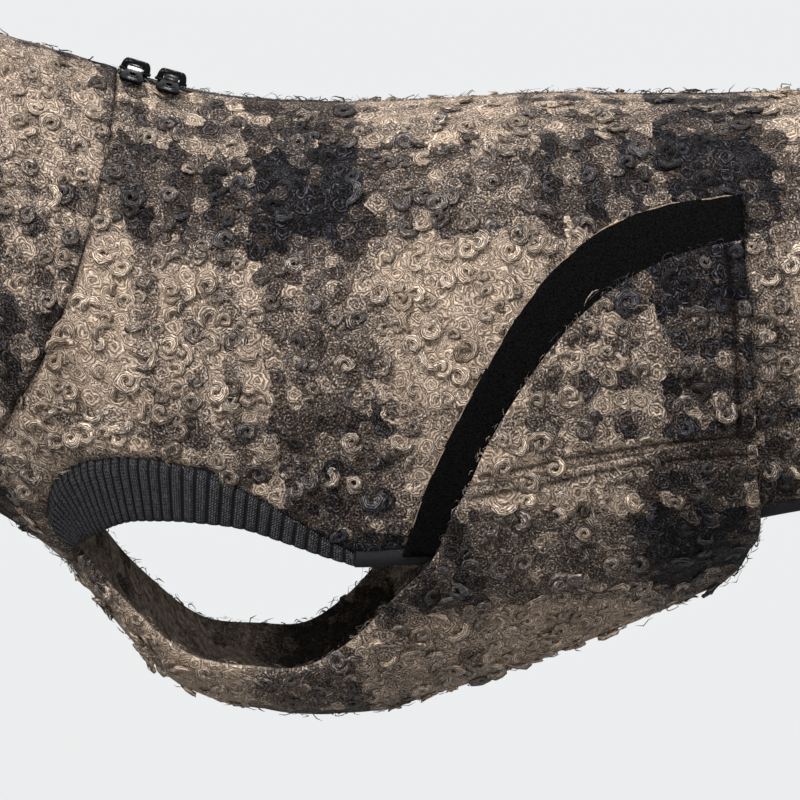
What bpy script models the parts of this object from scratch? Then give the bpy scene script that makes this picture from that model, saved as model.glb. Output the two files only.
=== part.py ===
"""A dog coat in curly boucle wool, as worn: hollow, open at the neck, the legs and the tail end.

World axes: +X runs from head to tail, +Z is up, -Y is the near side. The origin is on the inner face of the
back, on the spine over the chest, where the coat is held up. Sizes below are in millimetres.
"""

import math

import bpy
import numpy as np
from mathutils import Matrix, Vector
from mathutils.geometry import delaunay_2d_cdt

MM = 0.001
NEAR, FAR = -1, 1

# Driving sizes
WOOL = 4.0  # cloth with its curled pile
SEAM = 0.3  # gap between neighbouring pieces
TAPE = 1.2  # loop tape
TAPE_WIDTH = 25.0
OVER = WOOL + SEAM + TAPE + SEAM  # how far the flaps stand off the form, over body and tape
RAMP = 28.0  # length over which the belly panel steps up onto the body
PINCH = 1.5  # how far the stitching pulls the pile down at a seam
PINCHED = {"neck_seam": 7.0, "lap_seam": 7.0, "chest_seam": 7.0, "slot": 14.0}  # reach of the pull, by line
BINDING_WIDTH = 5.0
BINDING_INNER, BINDING_OUTER = 0.4, 3.6
GIRTH = 330.0  # half girth that one unit of "round" stands for on the flat chart
GRID = 16.0  # spacing of the cloth's inner points
EDGE = 10.0  # spacing of points along cut edges
COLLAR_START, COAT_END = -86, 459  # values of "along" at the collar's free edge and past the tail edge

# The form is the garment's inner face, as sections that fan out from the slanted neck seam.
# along: distance behind the neck seam, half way down the side. top, low: the section's ends on the spine
# and under the belly. widest: share of the height above the widest level. crown: 2 is an ellipse, less is
# a sharper ridge.
SECTION = ("along", "top_x", "top_z", "low_x", "low_z", "half_width", "widest", "crown")
SECTIONS = (
    (COLLAR_START, -207, 41, -231, -92, 57, 0.50, 2.00),
    (0, -113, 13.5, -175, -149, 70, 0.50, 1.65),
    (34, -96, 8.5, -134, -178, 76, 0.49, 1.50),
    (55, -84, 5.3, -115.5, -200, 79, 0.48, 1.52),
    (76, -72, 3, -92.5, -225.5, 81, 0.47, 1.60),
    (111, -44, 0.5, -52.5, -239.5, 84, 0.46, 1.75),
    (143, -16, 0, -16, -240.5, 85, 0.46, 1.90),
    (179, 20, 1.5, 20, -231, 85, 0.46, 1.95),
    (220, 60, 3.5, 60, -217, 83, 0.46, 2.00),
    (261, 99.5, 3, 100.5, -200.5, 80, 0.46, 2.00),
    (298, 135, 3.5, 136.5, -185, 78, 0.47, 2.00),
    (342, 178.5, 5, 181, -178, 77, 0.48, 2.00),
    (402, 238, 2, 241, -166, 75, 0.50, 2.00),
    (462, 298, -6, 301, -150, 70, 0.50, 2.00),
)
LOW_POWER = 2.0
RING_STEPS = 120

# Cut lines on the form. along: as above. round: share of the half girth from spine (0) to belly (1).
LINE = ("along", "round")
COLLAR_EDGE = ((COLLAR_START, 0), (COLLAR_START, 0.5), (COLLAR_START, 1))
NECK_SEAM = (
    (0, 0),
    (8, 0.12),
    (15, 0.24),
    (18, 0.38),
    (16, 0.52),
    (11, 0.64),
    (5, 0.78),
    (1, 0.9),
    (0, 1),
)
CHEST_SEAM = ((39, 0.842), (38, 0.92), (36, 1))
LEG_EDGE = (
    (39, 0.842),
    (33, 0.853),
    (28.5, 0.84),
    (27, 0.8),
    (27, 0.751),
    (30, 0.709),
    (35.5, 0.674),
    (46, 0.633),
    (61, 0.588),
    (76, 0.559),
    (90, 0.556),
    (105, 0.576),
    (124, 0.61),
    (142, 0.647),
)
CUFF_FREE_EDGE = (
    (40, 0.832),
    (42, 0.803),
    (45.5, 0.775),
    (52, 0.729),
    (65, 0.667),
    (78, 0.632),
    (96, 0.618),
    (115, 0.629),
    (133, 0.65),
    (142.5, 0.662),
)
HEM = (
    (142, 0.647),
    (160, 0.653),
    (180, 0.668),
    (220, 0.7),
    (260, 0.728),
    (302, 0.741),
    (339, 0.726),
    (373, 0.699),
    (408, 0.636),
    (432, 0.52),
    (446, 0.34),
    (452, 0.16),
    (454, 0),
)
BAND_EDGE = (
    (39, 0.842),
    (46, 0.841),
    (56, 0.846),
    (70, 0.841),
    (86, 0.842),
    (102, 0.833),
    (122, 0.822),
    (136, 0.787),
    (150, 0.738),
    (159, 0.7),
    (171, 0.663),
    (180, 0.605),
    (185, 0.58),
)
FLAP_FRONT = (
    (185, 0.58),
    (190, 0.547),
    (203, 0.487),
    (221, 0.424),
    (241, 0.377),
    (265, 0.348),
    (292.5, 0.34),
)
FLAP_BACK = ((292.5, 0.34), (295, 0.42), (296.5, 0.52), (297.7, 0.62))
LAP_SEAM = ((185, 0.58), (205, 0.585), (237, 0.59), (262, 0.596), (297.7, 0.62))
BELLY_BACK = (
    (297.7, 0.62),
    (298.5, 0.67),
    (300.5, 0.745),
    (300, 0.8),
    (297.5, 0.86),
    (293, 0.93),
    (290, 1),
)
TAPE_FRONT = (
    (159.5, 0.653),
    (166, 0.592),
    (177, 0.52),
    (196, 0.425),
    (208, 0.375),
    (223, 0.33),
    (241, 0.295),
    (259, 0.278),
    (293.5, 0.274),
)

# Leg cuffs
RIBS = 38
RIB_HEIGHT = 0.9
RIB_SHAPE = ((0.0, 0.0), (0.28, 1.0), (0.72, 1.0))  # place across a rib, share of its height
CUFF_INNER, CUFF_WALL = 0.8, 1.5
CUFF_ROWS = 3
CUFF_SPAN = (0.006, 0.992)  # share of the leg edge that the cuff covers
RIB_FAN = (  # a rib's share of the sewn edge, and of the free edge
    (0, 0),
    (0.1, 0.05),
    (0.2, 0.1),
    (0.3, 0.18),
    (0.42, 0.3),
    (0.56, 0.457),
    (0.74, 0.671),
    (0.9, 0.866),
    (1, 1),
)

# Zip, by distance along the spine behind the neck seam
SLOT_HALF = 5.0
SLOT_END = 80.0
CHAIN_HALF, CHAIN_LOW, CHAIN_HIGH = 2.0, 0.4, 2.3
CHAIN_FRONT = (0.6, 10.2)
CHAIN_REAR = (19.7, 79.4)
ZIP_TAPE_SIDES = (2.3, 4.5)
ZIP_TAPE_LOW, ZIP_TAPE_HIGH = 0.9, 1.9
SLIDER_FRONT_AT, SLIDER_REAR_AT = 7.4, 22.3
SLIDER_LENGTH, SLIDER_NARROW, SLIDER_WIDE = 13.0, 2.7, 4.2
PLATE = 1.0
LOW_PLATE, HIGH_PLATE = -0.8, 2.6
POST_AT, POST_LENGTH, POST_WIDTH = 4.2, 2.4, 1.6
BAR_ABOVE = 2.4  # bar's axis over the high plate
BAR_RADIUS, EYE_RADIUS, SLEEVE_RADIUS = 0.75, 1.0, 1.7
SLEEVE_LENGTH, CHEEK = 6.0, 2.0
PULL_DROOP = math.radians(21)  # a tab at rest hangs this far below level
NECK_END, TAB_END = 7.0, 17.0
NECK_HALF, TAB_HALF = 3.0, 4.8
NECK_THICK, TAB_THICK = 1.0, 1.4
TAB_HOLE_AT, TAB_HOLE, TAB_RING, TAB_RING_THICK = 12.0, 1.4, 2.3, 2.0


def column(rows, columns, name):
    """One named column of a table."""
    return np.array([row[columns.index(name)] for row in rows], float)


def smooth(knots, values, x):
    """Reads a smooth curve through the values at x."""
    slopes = np.gradient(values, knots)
    i = int(np.clip(np.searchsorted(knots, x) - 1, 0, len(knots) - 2))
    span = knots[i + 1] - knots[i]
    t = (x - knots[i]) / span
    rise = values[i + 1] - values[i]
    bend_a = slopes[i] * span - rise
    bend_b = rise - slopes[i + 1] * span
    return values[i] + t * rise + t * (1 - t) * ((1 - t) * bend_a + t * bend_b)


# ---- the form

SECTION_AT = {name: column(SECTIONS, SECTION, name) for name in SECTION}
RINGS = {}


def ring(along):
    """The half section at a place: top end, direction down, then share of length, drop and side by step."""
    key = round(along, 4)
    if key not in RINGS:
        at = {name: smooth(SECTION_AT["along"], SECTION_AT[name], along) for name in SECTION[1:]}
        top = np.array((at["top_x"], at["top_z"]))
        low = np.array((at["low_x"], at["low_z"]))
        height = np.linalg.norm(low - top)
        angle = np.linspace(0.0, math.pi, RING_STEPS + 1)
        upper_half = angle <= math.pi / 2
        power = np.where(upper_half, 2 / at["crown"], 2 / LOW_POWER)
        reach = np.abs(np.cos(angle)) ** power
        above = at["widest"] * (1 - reach)
        below = at["widest"] + (1 - at["widest"]) * reach
        drop = height * np.where(upper_half, above, below)
        side = at["half_width"] * np.abs(np.sin(angle)) ** power
        side[0] = side[-1] = 0.0
        length = np.concatenate(([0.0], np.cumsum(np.hypot(np.diff(drop), np.diff(side)))))
        RINGS[key] = (top, (low - top) / height, length / length[-1], drop, side, length[-1])
    return RINGS[key]


def form_point(along, share):
    """Point of the form on the near side; a share past either end comes round onto the far side."""
    turned = share < 0 or share > 1
    share = -share if share < 0 else 2 - share if share > 1 else share
    top, down, shares, drop, side, _ = ring(along)
    place = top + down * np.interp(share, shares, drop)
    reach = np.interp(share, shares, side)
    return np.array((place[0], reach if turned else -reach, place[1]))


def lengthwise(along, share):
    """How the form's point moves for each millimetre of "along"."""
    return (form_point(along + 1.0, share) - form_point(along - 1.0, share)) / 2.0


def around(along, share):
    """How the form's point moves for the whole half girth, at this place."""
    return (form_point(along, share + 0.006) - form_point(along, share - 0.006)) / 0.012


def outward(along, share):
    """Outward normal of the form."""
    normal = np.cross(around(along, share), lengthwise(along, share))
    if share in (0.0, 1.0):
        normal[1] = 0.0
    return normal / np.linalg.norm(normal)


def cloth_point(along, share, out):
    """Point at a distance outside the form, near side."""
    return form_point(along, share) + outward(along, share) * out


# ---- cut lines on the flat chart, whose axes are along and round * GIRTH


def trace(rows, step=EDGE):
    """A smooth line through a table's rows, with points about every step."""
    knots = np.column_stack((column(rows, LINE, "along"), column(rows, LINE, "round") * GIRTH))
    reach = lengths_along(knots)
    count = max(2, round(reach[-1] / step) + 1)
    places = np.linspace(0.0, reach[-1], count)
    return np.array([[smooth(reach, knots[:, axis], place) for axis in (0, 1)] for place in places])


def beside(line, distance):
    """The line moved sideways on the cloth, to the right of its direction seen from outside the near side."""
    moved = []
    tangents = np.gradient(line, axis=0)
    for (along, b), (d_along, d_b) in zip(line, tangents):
        share = b / GIRTH
        length_scale = np.linalg.norm(lengthwise(along, share))
        round_scale = np.linalg.norm(around(along, share)) / GIRTH
        flat = np.array((d_along * length_scale, d_b * round_scale))
        flat /= np.linalg.norm(flat)
        moved.append((along - flat[1] * distance / length_scale, b + flat[0] * distance / round_scale))
    return np.array(moved)


def on_line(line, axis, value):
    """The point of the line where one chart coordinate has this value."""
    for start, end in zip(line[:-1], line[1:]):
        if min(start[axis], end[axis]) <= value <= max(start[axis], end[axis]):
            t = (value - start[axis]) / (end[axis] - start[axis])
            return start + t * (end - start)
    raise ValueError("the line doesn't reach this value")


def lengths_along(points):
    """Distance travelled along a line at each of its points."""
    steps = np.linalg.norm(np.diff(points, axis=0), axis=1)
    return np.concatenate(([0.0], np.cumsum(steps)))


SPINE_PLACES = np.linspace(0.0, 200.0, 401)
SPINE_LENGTHS = lengths_along(np.array([form_point(along, 0.0) for along in SPINE_PLACES]))


def spine_along(distance):
    """The value of "along" at a distance behind the neck seam, measured on the spine."""
    return float(np.interp(distance, SPINE_LENGTHS, SPINE_PLACES))


def slot_line():
    """The zip opening's long edge, from the neck seam to its rear end."""
    points = []
    for distance in np.linspace(0.0, SLOT_END, 10):
        along = spine_along(distance)
        points.append((along, SLOT_HALF / ring(along)[5] * GIRTH))
    return np.array(points)


def straight(start, end, step=EDGE):
    """A straight line on the chart."""
    count = max(2, round(np.linalg.norm(np.subtract(end, start)) / step) + 1)
    return np.linspace(start, end, count)


def joined(*lines):
    """One outline from lines that follow one another."""
    return np.vstack([line[:-1] for line in lines])


def cut_lines():
    """Every line that the cloth is cut on, by name."""
    lines = {
        "collar_edge": trace(COLLAR_EDGE, GRID),
        "neck_seam": trace(NECK_SEAM),
        "chest_seam": trace(CHEST_SEAM),
        "leg_edge": trace(LEG_EDGE, EDGE * 0.8),
        "hem": trace(HEM),
        "band_edge": trace(BAND_EDGE),
        "flap_front": trace(FLAP_FRONT),
        "flap_back": trace(FLAP_BACK, GRID),
        "lap_seam": trace(LAP_SEAM, GRID),
        "belly_back": trace(BELLY_BACK),
        "tape_front": trace(TAPE_FRONT),
        "slot": slot_line(),
    }
    seam = lines["neck_seam"]
    slot_start = on_line(seam, 1, lines["slot"][0][1])
    lines["slot"][0] = slot_start
    lines["neck_seam_top"] = np.array((seam[0], slot_start))
    lines["neck_seam"] = np.vstack((slot_start, seam[seam[:, 1] > slot_start[1] + 2.0]))
    lines["slot_rear"] = np.array((lines["slot"][-1], (lines["slot"][-1][0], 0.0)))
    lines["binding_edge"] = beside(lines["hem"], BINDING_WIDTH)
    lines["binding_edge"][-1][1] = 0.0
    tape_back = beside(lines["tape_front"], TAPE_WIDTH)
    lines["tape_back"] = tape_back[tape_back[:, 1] < 0.66 * GIRTH]
    return lines


def outlines(lines):
    """The near half of every piece of cloth, as closed outlines on the chart."""
    neck, chest = lines["neck_seam"], lines["chest_seam"]
    hem, leg = lines["hem"], lines["leg_edge"]
    collar_top, collar_low = (COLLAR_START, 0.0), (COLLAR_START, GIRTH)
    neck_top, chest_low, tail = lines["neck_seam_top"][0], chest[-1], hem[-1]
    slot_rear = lines["slot_rear"][-1]
    tape_low = (
        on_line(hem, 0, lines["tape_front"][0][0]),
        on_line(hem, 0, lines["tape_back"][0][0] - 2.0),
    )
    under_tape = hem[(hem[:, 0] > tape_low[0][0] + 1.0) & (hem[:, 0] < tape_low[1][0] - 1.0)]
    lines["tape_foot"] = np.vstack((tape_low[0], under_tape, tape_low[1]))
    lines["tape_front"][0] = tape_low[0]
    lines["tape_back"] = np.vstack((tape_low[1], lines["tape_back"]))
    lines["tape_end"] = np.array((lines["tape_front"][-1], lines["tape_back"][-1]))
    return {
        "collar": joined(
            lines["collar_edge"],
            straight(collar_low, neck[-1]),
            neck[::-1],
            lines["neck_seam_top"][::-1],
            straight(neck_top, collar_top),
        ),
        "body": joined(
            neck,
            straight(neck[-1], chest_low),
            chest[::-1],
            leg,
            hem,
            straight(tail, slot_rear),
            lines["slot_rear"][::-1],
            lines["slot"][::-1],
        ),
        "belly_panel": joined(
            lines["band_edge"],
            lines["lap_seam"],
            lines["belly_back"],
            straight(lines["belly_back"][-1], chest_low),
            chest[::-1],
        ),
        "wing": joined(lines["flap_front"], lines["flap_back"], lines["lap_seam"][::-1]),
        "binding": joined(
            hem,
            (tail, lines["binding_edge"][-1]),
            lines["binding_edge"][::-1],
            (lines["binding_edge"][0], hem[0]),
        ),
        "loop_tape": joined(
            lines["tape_front"],
            lines["tape_end"],
            lines["tape_back"][::-1],
            lines["tape_foot"][::-1],
        ),
    }


def inside(outline, points):
    """Which of the points lie inside the outline."""
    x, y = points[:, :1], points[:, 1:]
    x1, y1 = outline[:, 0], outline[:, 1]
    x2, y2 = np.roll(x1, -1), np.roll(y1, -1)
    spans = (y1 > y) != (y2 > y)
    rise = np.where(y2 == y1, 1.0, y2 - y1)
    crossed = spans & (x < (x2 - x1) * (y - y1) / rise + x1)
    return crossed.sum(axis=1) % 2 == 1


def distance_to(line, points):
    """Distance on the chart from each point to a line."""
    start, run = line[:-1], np.diff(line, axis=0)
    offset = points[:, None, :] - start[None]
    t = np.clip((offset * run).sum(-1) / np.maximum((run * run).sum(-1), 1e-9), 0.0, 1.0)
    return np.linalg.norm(offset - t[..., None] * run, axis=-1).min(axis=1)


def chart_mesh(lines, pieces):
    """One triangle mesh of the whole chart, with every cut line as edges, so that layers never cross."""
    points, edges = [], []
    drawn = list(lines.values()) + [np.vstack((outline, outline[:1])) for outline in pieces.values()]
    for line in drawn:
        first = len(points)
        points.extend(line)
        edges.extend((first + i, first + i + 1) for i in range(len(line) - 1))
    row_step = GRID * math.sqrt(3) / 2
    filling = []
    for i, along in enumerate(np.arange(COLLAR_START + row_step, COAT_END, row_step)):
        for b in np.arange(GRID / 2 * (i % 2) + GRID / 2, GIRTH - GRID / 3, GRID):
            filling.append((along, b))
    filling = np.array(filling)
    held = np.zeros(len(filling), bool)
    for outline in pieces.values():
        held |= inside(outline, filling)
    for line in drawn:
        held &= distance_to(line, filling) > GRID * 0.5
    points.extend(filling[held])
    found = delaunay_2d_cdt([Vector(point) for point in points], edges, [], 0, 0.01)
    return np.array([tuple(point) for point in found[0]]), np.array(found[2])


# ---- walls of cloth


def lift(lines, pieces, points):
    """Share of the full step up onto the body, at each point of the chart."""
    away = distance_to(lines["binding_edge"], points)
    on_body = inside(pieces["body"], points) | inside(pieces["binding"], points) | (away < 0.5)
    t = np.clip(np.where(on_body, 0.0, away) / RAMP, 0.0, 1.0)
    return 1 - t * t * (3 - 2 * t)


def pinch(lines, points):
    """How far the sewing pulls the pile down, at each point of the chart."""
    pulled = np.zeros(len(points))
    for name, reach in PINCHED.items():
        away = distance_to(lines[name], points)
        pulled = np.maximum(pulled, PINCH * np.exp(-((away / reach) ** 2)))
    return pulled


def material(name, colour, roughness, metallic=0.0):
    made = bpy.data.materials.new(name)
    made.use_nodes = True
    shader = made.node_tree.nodes["Principled BSDF"]
    shader.inputs["Base Color"].default_value = (*colour, 1.0)
    shader.inputs["Roughness"].default_value = roughness
    shader.inputs["Metallic"].default_value = metallic
    return made


def named_mesh(name, points, faces, finish):
    """An object from points in millimetres."""
    mesh = bpy.data.meshes.new(name)
    mesh.from_pydata([tuple(np.asarray(point) * MM) for point in points], [], faces)
    mesh.materials.append(finish)
    mesh.shade_smooth()
    mesh.set_sharp_from_angle(angle=math.radians(50))
    made = bpy.data.objects.new(name, mesh)
    bpy.context.collection.objects.link(made)
    return made


def inset_moves(points, faces, rim, mirrored):
    """How far each rim point moves inwards, so that neighbouring pieces stay a seam's gap apart."""
    inward = {}
    for face in faces:
        for i in range(3):
            a, b, c = face[i], face[(i + 1) % 3], face[(i + 2) % 3]
            if (min(a, b), max(a, b)) not in rim:
                continue
            run = points[b] - points[a]
            side = points[c] - points[a]
            side = side - run * (side @ run) / (run @ run)
            side /= np.linalg.norm(side)
            inward.setdefault(a, []).append(side)
            inward.setdefault(b, []).append(side)
    moves = {}
    for vertex, sides in inward.items():
        if vertex in mirrored:
            sides = sides + [side * (1, -1, 1) for side in sides]
        total = np.sum(sides, axis=0)
        share = 2.0 * len(sides) / max(total @ total, 1.0)
        moves[vertex] = total * min(share / 2.0, 1.2) * SEAM / 2
    return moves


def wall(name, chart, faces, inner, outer, finish, sides=(NEAR,)):
    """A closed wall of cloth over some of the chart's triangles, on one side or both."""
    used = np.unique(faces)
    place = {v: (chart[v][0], min(max(chart[v][1] / GIRTH, 0.0), 1.0)) for v in used}
    both = len(sides) == 2
    centre = {v for v in used if both and place[v][1] in (0.0, 1.0)}
    low = {v: cloth_point(*place[v], inner[v]) for v in used}
    high = {v: cloth_point(*place[v], outer[v]) for v in used}
    counts = {}
    for face in faces:
        for i in range(3):
            edge = tuple(sorted((face[i], face[(i + 1) % 3])))
            counts[edge] = counts.get(edge, 0) + 1
    rim = {edge for edge, count in counts.items() if count == 1 and not centre.issuperset(edge)}
    middle = {v: (low[v] + high[v]) / 2 for v in used}
    for vertex, move in inset_moves(middle, faces, rim, centre).items():
        low[vertex] = low[vertex] + move
        high[vertex] = high[vertex] + move
    points, index, made = [], {}, []
    for side in sides:
        flip = np.array((1, -side, 1))
        for vertex in used:
            key = (vertex, 0 if vertex in centre else side)
            if key not in index:
                index[key] = len(points)
                keep = np.array((1, 0, 1)) if vertex in centre else flip
                points.append(low[vertex] * keep)
                points.append(high[vertex] * keep)

        def at(vertex, level, side=side):
            return index[(vertex, 0 if vertex in centre else side)] + level

        for a, b, c in faces:
            lower = (at(a, 0), at(b, 0), at(c, 0))
            upper = (at(a, 1), at(c, 1), at(b, 1))
            made += [lower, upper] if side == NEAR else [lower[::-1], upper[::-1]]
            for start, end in ((a, b), (b, c), (c, a)):
                if (min(start, end), max(start, end)) not in rim:
                    continue
                quad = (at(start, 0), at(start, 1), at(end, 1), at(end, 0))
                made.append(quad if side == NEAR else quad[::-1])
    return named_mesh(name, points, made, finish)


def cloth_pieces(lines, pieces, finishes):
    """Every piece cut from the chart: collar, bodies, belly panel, flaps, bindings and loop tapes."""
    chart, triangles = chart_mesh(lines, pieces)
    centres = chart[triangles].mean(axis=1)
    stepped = lift(lines, pieces, chart) * OVER
    pulled = pinch(lines, chart)
    flat = np.zeros(len(chart))
    wool = finishes["wool"]
    levels = {
        "collar": (flat, WOOL - pulled, wool),
        "body": (flat, WOOL - pulled, wool),
        "belly_panel": (stepped, stepped + WOOL - pulled, wool),
        "wing": (stepped, stepped + WOOL - pulled, wool),
        "binding": (flat + BINDING_INNER, flat + BINDING_OUTER, finishes["binding"]),
        "loop_tape": (flat + WOOL + SEAM, flat + WOOL + SEAM + TAPE, finishes["loop_tape"]),
    }
    for name, outline in pieces.items():
        faces = triangles[inside(outline, centres)]
        inner, outer, finish = levels[name]
        if name in ("collar", "belly_panel"):
            wall(name, chart, faces, inner, outer, finish, (NEAR, FAR))
        else:
            wall(name + "_left", chart, faces, inner, outer, finish, (NEAR,))
            wall(name + "_right", chart, faces, inner, outer, finish, (FAR,))


def along_line(line, share):
    """Point at a share of a line's length on the chart."""
    reach = lengths_along(line)
    return np.array([np.interp(share * reach[-1], reach, line[:, axis]) for axis in (0, 1)])


def ribbed_cuff(name, side, sewn, free, finish):
    """A rib-knit strip between its sewn edge and its free edge, ribs raised over a plain inside."""
    columns = [((rib + place) / RIBS, height) for rib in range(RIBS) for place, height in RIB_SHAPE]
    columns.append((1.0, 0.0))
    fan = np.array(RIB_FAN)
    points, faces = [], []
    for place_on_strip, height in columns:
        share = CUFF_SPAN[0] + place_on_strip * (CUFF_SPAN[1] - CUFF_SPAN[0])
        fanned = smooth(fan[:, 0], fan[:, 1], share)
        top, bottom = along_line(sewn, share), along_line(free, fanned)
        middle = (top + bottom) / 2
        round_scale = np.linalg.norm(around(middle[0], middle[1] / GIRTH)) / GIRTH
        width = np.linalg.norm(bottom - top) * round_scale
        for row in range(CUFF_ROWS):
            down = row / (CUFF_ROWS - 1)
            across = (SEAM + down * (width - SEAM)) / width
            along, b = top + (bottom - top) * across
            for out in (CUFF_INNER, CUFF_INNER + CUFF_WALL + RIB_HEIGHT * height):
                points.append(cloth_point(along, b / GIRTH, out) * (1, -side, 1))

    def at(i, row, level):
        return (i * CUFF_ROWS + row) * 2 + level

    last = len(columns) - 1
    for i in range(last):
        for row in range(CUFF_ROWS - 1):
            faces.append((at(i, row, 1), at(i, row + 1, 1), at(i + 1, row + 1, 1), at(i + 1, row, 1)))
            faces.append((at(i, row, 0), at(i + 1, row, 0), at(i + 1, row + 1, 0), at(i, row + 1, 0)))
        for row, turn in ((0, 1), (CUFF_ROWS - 1, -1)):
            faces.append((at(i, row, 0), at(i, row, 1), at(i + 1, row, 1), at(i + 1, row, 0))[::turn])
    for row in range(CUFF_ROWS - 1):
        faces.append((at(0, row, 0), at(0, row + 1, 0), at(0, row + 1, 1), at(0, row, 1)))
        faces.append((at(last, row, 0), at(last, row, 1), at(last, row + 1, 1), at(last, row + 1, 0)))
    if side == FAR:
        faces = [face[::-1] for face in faces]
    return named_mesh(name, points, faces, finish)


# ---- zip


def spine_frame(distance):
    """Frame on the spine's inner face: X along the spine towards the tail, Y across, Z outwards."""
    along = spine_along(distance)
    x_axis = form_point(along + 1.0, 0.0) - form_point(along - 1.0, 0.0)
    x_axis /= np.linalg.norm(x_axis)
    y_axis = np.array((0.0, 1.0, 0.0))
    z_axis = np.cross(x_axis, y_axis)
    made = Matrix(np.column_stack((x_axis, y_axis, z_axis)).tolist()).to_4x4()
    made.translation = Vector(form_point(along, 0.0)) * MM
    return made


def spine_bar(name, span, sides, levels, finish):
    """A straight-edged strip along the spine between two distances, with a section in Y and Z."""
    points, faces = [], []
    places = np.linspace(*span, max(2, round((span[1] - span[0]) / 12) + 1))
    section = [(sides[0], levels[0]), (sides[1], levels[0]), (sides[1], levels[1]), (sides[0], levels[1])]
    for place in places:
        frame = spine_frame(place)
        points += [frame @ Vector((0.0, y * MM, z * MM)) / MM for y, z in section]
    for i in range(len(places) - 1):
        for j in range(4):
            a, b = 4 * i + j, 4 * i + (j + 1) % 4
            faces.append((a, b, b + 4, a + 4))
    end = len(points) - 4
    faces += [(3, 2, 1, 0), (end, end + 1, end + 2, end + 3)]
    return named_mesh(name, points, faces, finish)


def prism(name, outline, low, high, finish, axis="Z"):
    """A closed plate: an outline of two coordinates drawn out along the third, in local millimetres."""
    order = {"Z": (0, 1, 2), "X": (2, 0, 1)}[axis]
    points = []
    for level in (low, high):
        points += [tuple(np.array((*corner, level))[list(order)]) for corner in outline]
    n = len(outline)
    faces = [tuple(range(n))[::-1], tuple(range(n, 2 * n))]
    faces += [(i, (i + 1) % n, (i + 1) % n + n, i + n) for i in range(n)]
    return named_mesh(name, points, faces, finish)


def circle(radius, centre=(0.0, 0.0), steps=20):
    turns = np.arange(steps) * math.tau / steps
    return [(centre[0] + radius * math.cos(turn), centre[1] + radius * math.sin(turn)) for turn in turns]


def combine(base, others, operation):
    """Adds or cuts helper shapes with Booleans; the helpers stay out of the render."""
    for other in others:
        other.hide_render = True
        other.display_type = "WIRE"
        other.parent = base
        modifier = base.modifiers.new(other.name, "BOOLEAN")
        modifier.operation = operation
        modifier.object = other


AXIS_LEVEL = HIGH_PLATE + PLATE + BAR_ABOVE
CROWN_HALF = SLEEVE_LENGTH / 2 + SEAM + CHEEK
OVERLAP = 0.1  # how far joined shapes run into one another
LOW_PLATE_TOP = LOW_PLATE + PLATE - 0.1


def slider(name, frame, finish):
    """A zip slider: two plates, the post between them, and a bar between two cheeks for the pull."""
    half = SLIDER_LENGTH / 2
    plate = [
        (-half, -SLIDER_NARROW * 0.6),
        (-half + 1.2, -SLIDER_NARROW),
        (half - 4.5, -SLIDER_WIDE),
        (half - 1.0, -SLIDER_WIDE),
        (half, -SLIDER_WIDE * 0.7),
    ]
    plate += [(x, -y) for x, y in reversed(plate)]
    high_top = HIGH_PLATE + PLATE
    base = prism(name, plate, HIGH_PLATE, high_top, finish)
    low = prism(name + "_low_plate", plate, LOW_PLATE, LOW_PLATE_TOP, finish)
    rhomb = ((-1, 0), (0, -1), (1, 0), (0, 1))
    corners = [(POST_AT + x * POST_LENGTH / 2, y * POST_WIDTH / 2) for x, y in rhomb]
    post = prism(name + "_post", corners, LOW_PLATE_TOP - OVERLAP, HIGH_PLATE + OVERLAP, finish)
    bar_half = CROWN_HALF - OVERLAP
    bar = prism(name + "_bar", circle(BAR_RADIUS, (0, AXIS_LEVEL), 12), -bar_half, bar_half, finish, "X")
    arch = [(y, z) for y, z in circle(SLEEVE_RADIUS, (0, AXIS_LEVEL), 16) if z > AXIS_LEVEL - 0.01]
    foot = SLEEVE_RADIUS + 0.2
    cheek = arch + [(-foot, high_top - OVERLAP), (foot, high_top - OVERLAP)]
    cheeks = [
        prism(name + "_cheek_a", cheek, -CROWN_HALF, -CROWN_HALF + CHEEK, finish, "X"),
        prism(name + "_cheek_b", cheek, CROWN_HALF - CHEEK, CROWN_HALF, finish, "X"),
    ]
    combine(base, [low, post, bar, *cheeks], "UNION")
    base.matrix_world = frame


def pull(name, frame, finish):
    """A pull tab: a sleeve round the slider's bar, a short neck and a flared tab with a ringed hole."""
    sleeve = prism(name, circle(SLEEVE_RADIUS), -SLEEVE_LENGTH / 2, SLEEVE_LENGTH / 2, finish, "X")
    neck_half = NECK_HALF - 0.3
    neck_low, neck_high = -NECK_END - 0.5, -EYE_RADIUS - 0.3
    neck = prism(
        name + "_neck",
        [(-neck_half, neck_low), (neck_half, neck_low), (neck_half, neck_high), (-neck_half, neck_high)],
        -NECK_THICK / 2,
        NECK_THICK / 2,
        finish,
    )
    tab = prism(
        name + "_tab",
        [
            (-NECK_HALF, -NECK_END),
            (-TAB_HALF, -TAB_END + 2.0),
            (-TAB_HALF + 1.2, -TAB_END),
            (TAB_HALF - 1.2, -TAB_END),
            (TAB_HALF, -TAB_END + 2.0),
            (NECK_HALF, -NECK_END),
        ],
        -TAB_THICK / 2,
        TAB_THICK / 2,
        finish,
    )
    at_hole = (0, -TAB_HOLE_AT)
    rim = prism(name + "_rim", circle(TAB_RING, at_hole), -TAB_RING_THICK / 2, TAB_RING_THICK / 2, finish)
    bore_round = circle(EYE_RADIUS, steps=16)
    bore = prism(name + "_bore", bore_round, -SLEEVE_LENGTH, SLEEVE_LENGTH, finish, "X")
    hole = prism(name + "_hole", circle(TAB_HOLE, at_hole, 16), -TAB_THICK * 2, TAB_THICK * 2, finish)
    combine(sleeve, [neck, tab, rim], "UNION")
    combine(sleeve, [bore, hole], "DIFFERENCE")
    to_bar = Matrix.Translation((0, 0, AXIS_LEVEL * MM))
    sleeve.matrix_world = frame @ to_bar @ Matrix.Rotation(PULL_DROOP, 4, "X")


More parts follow.
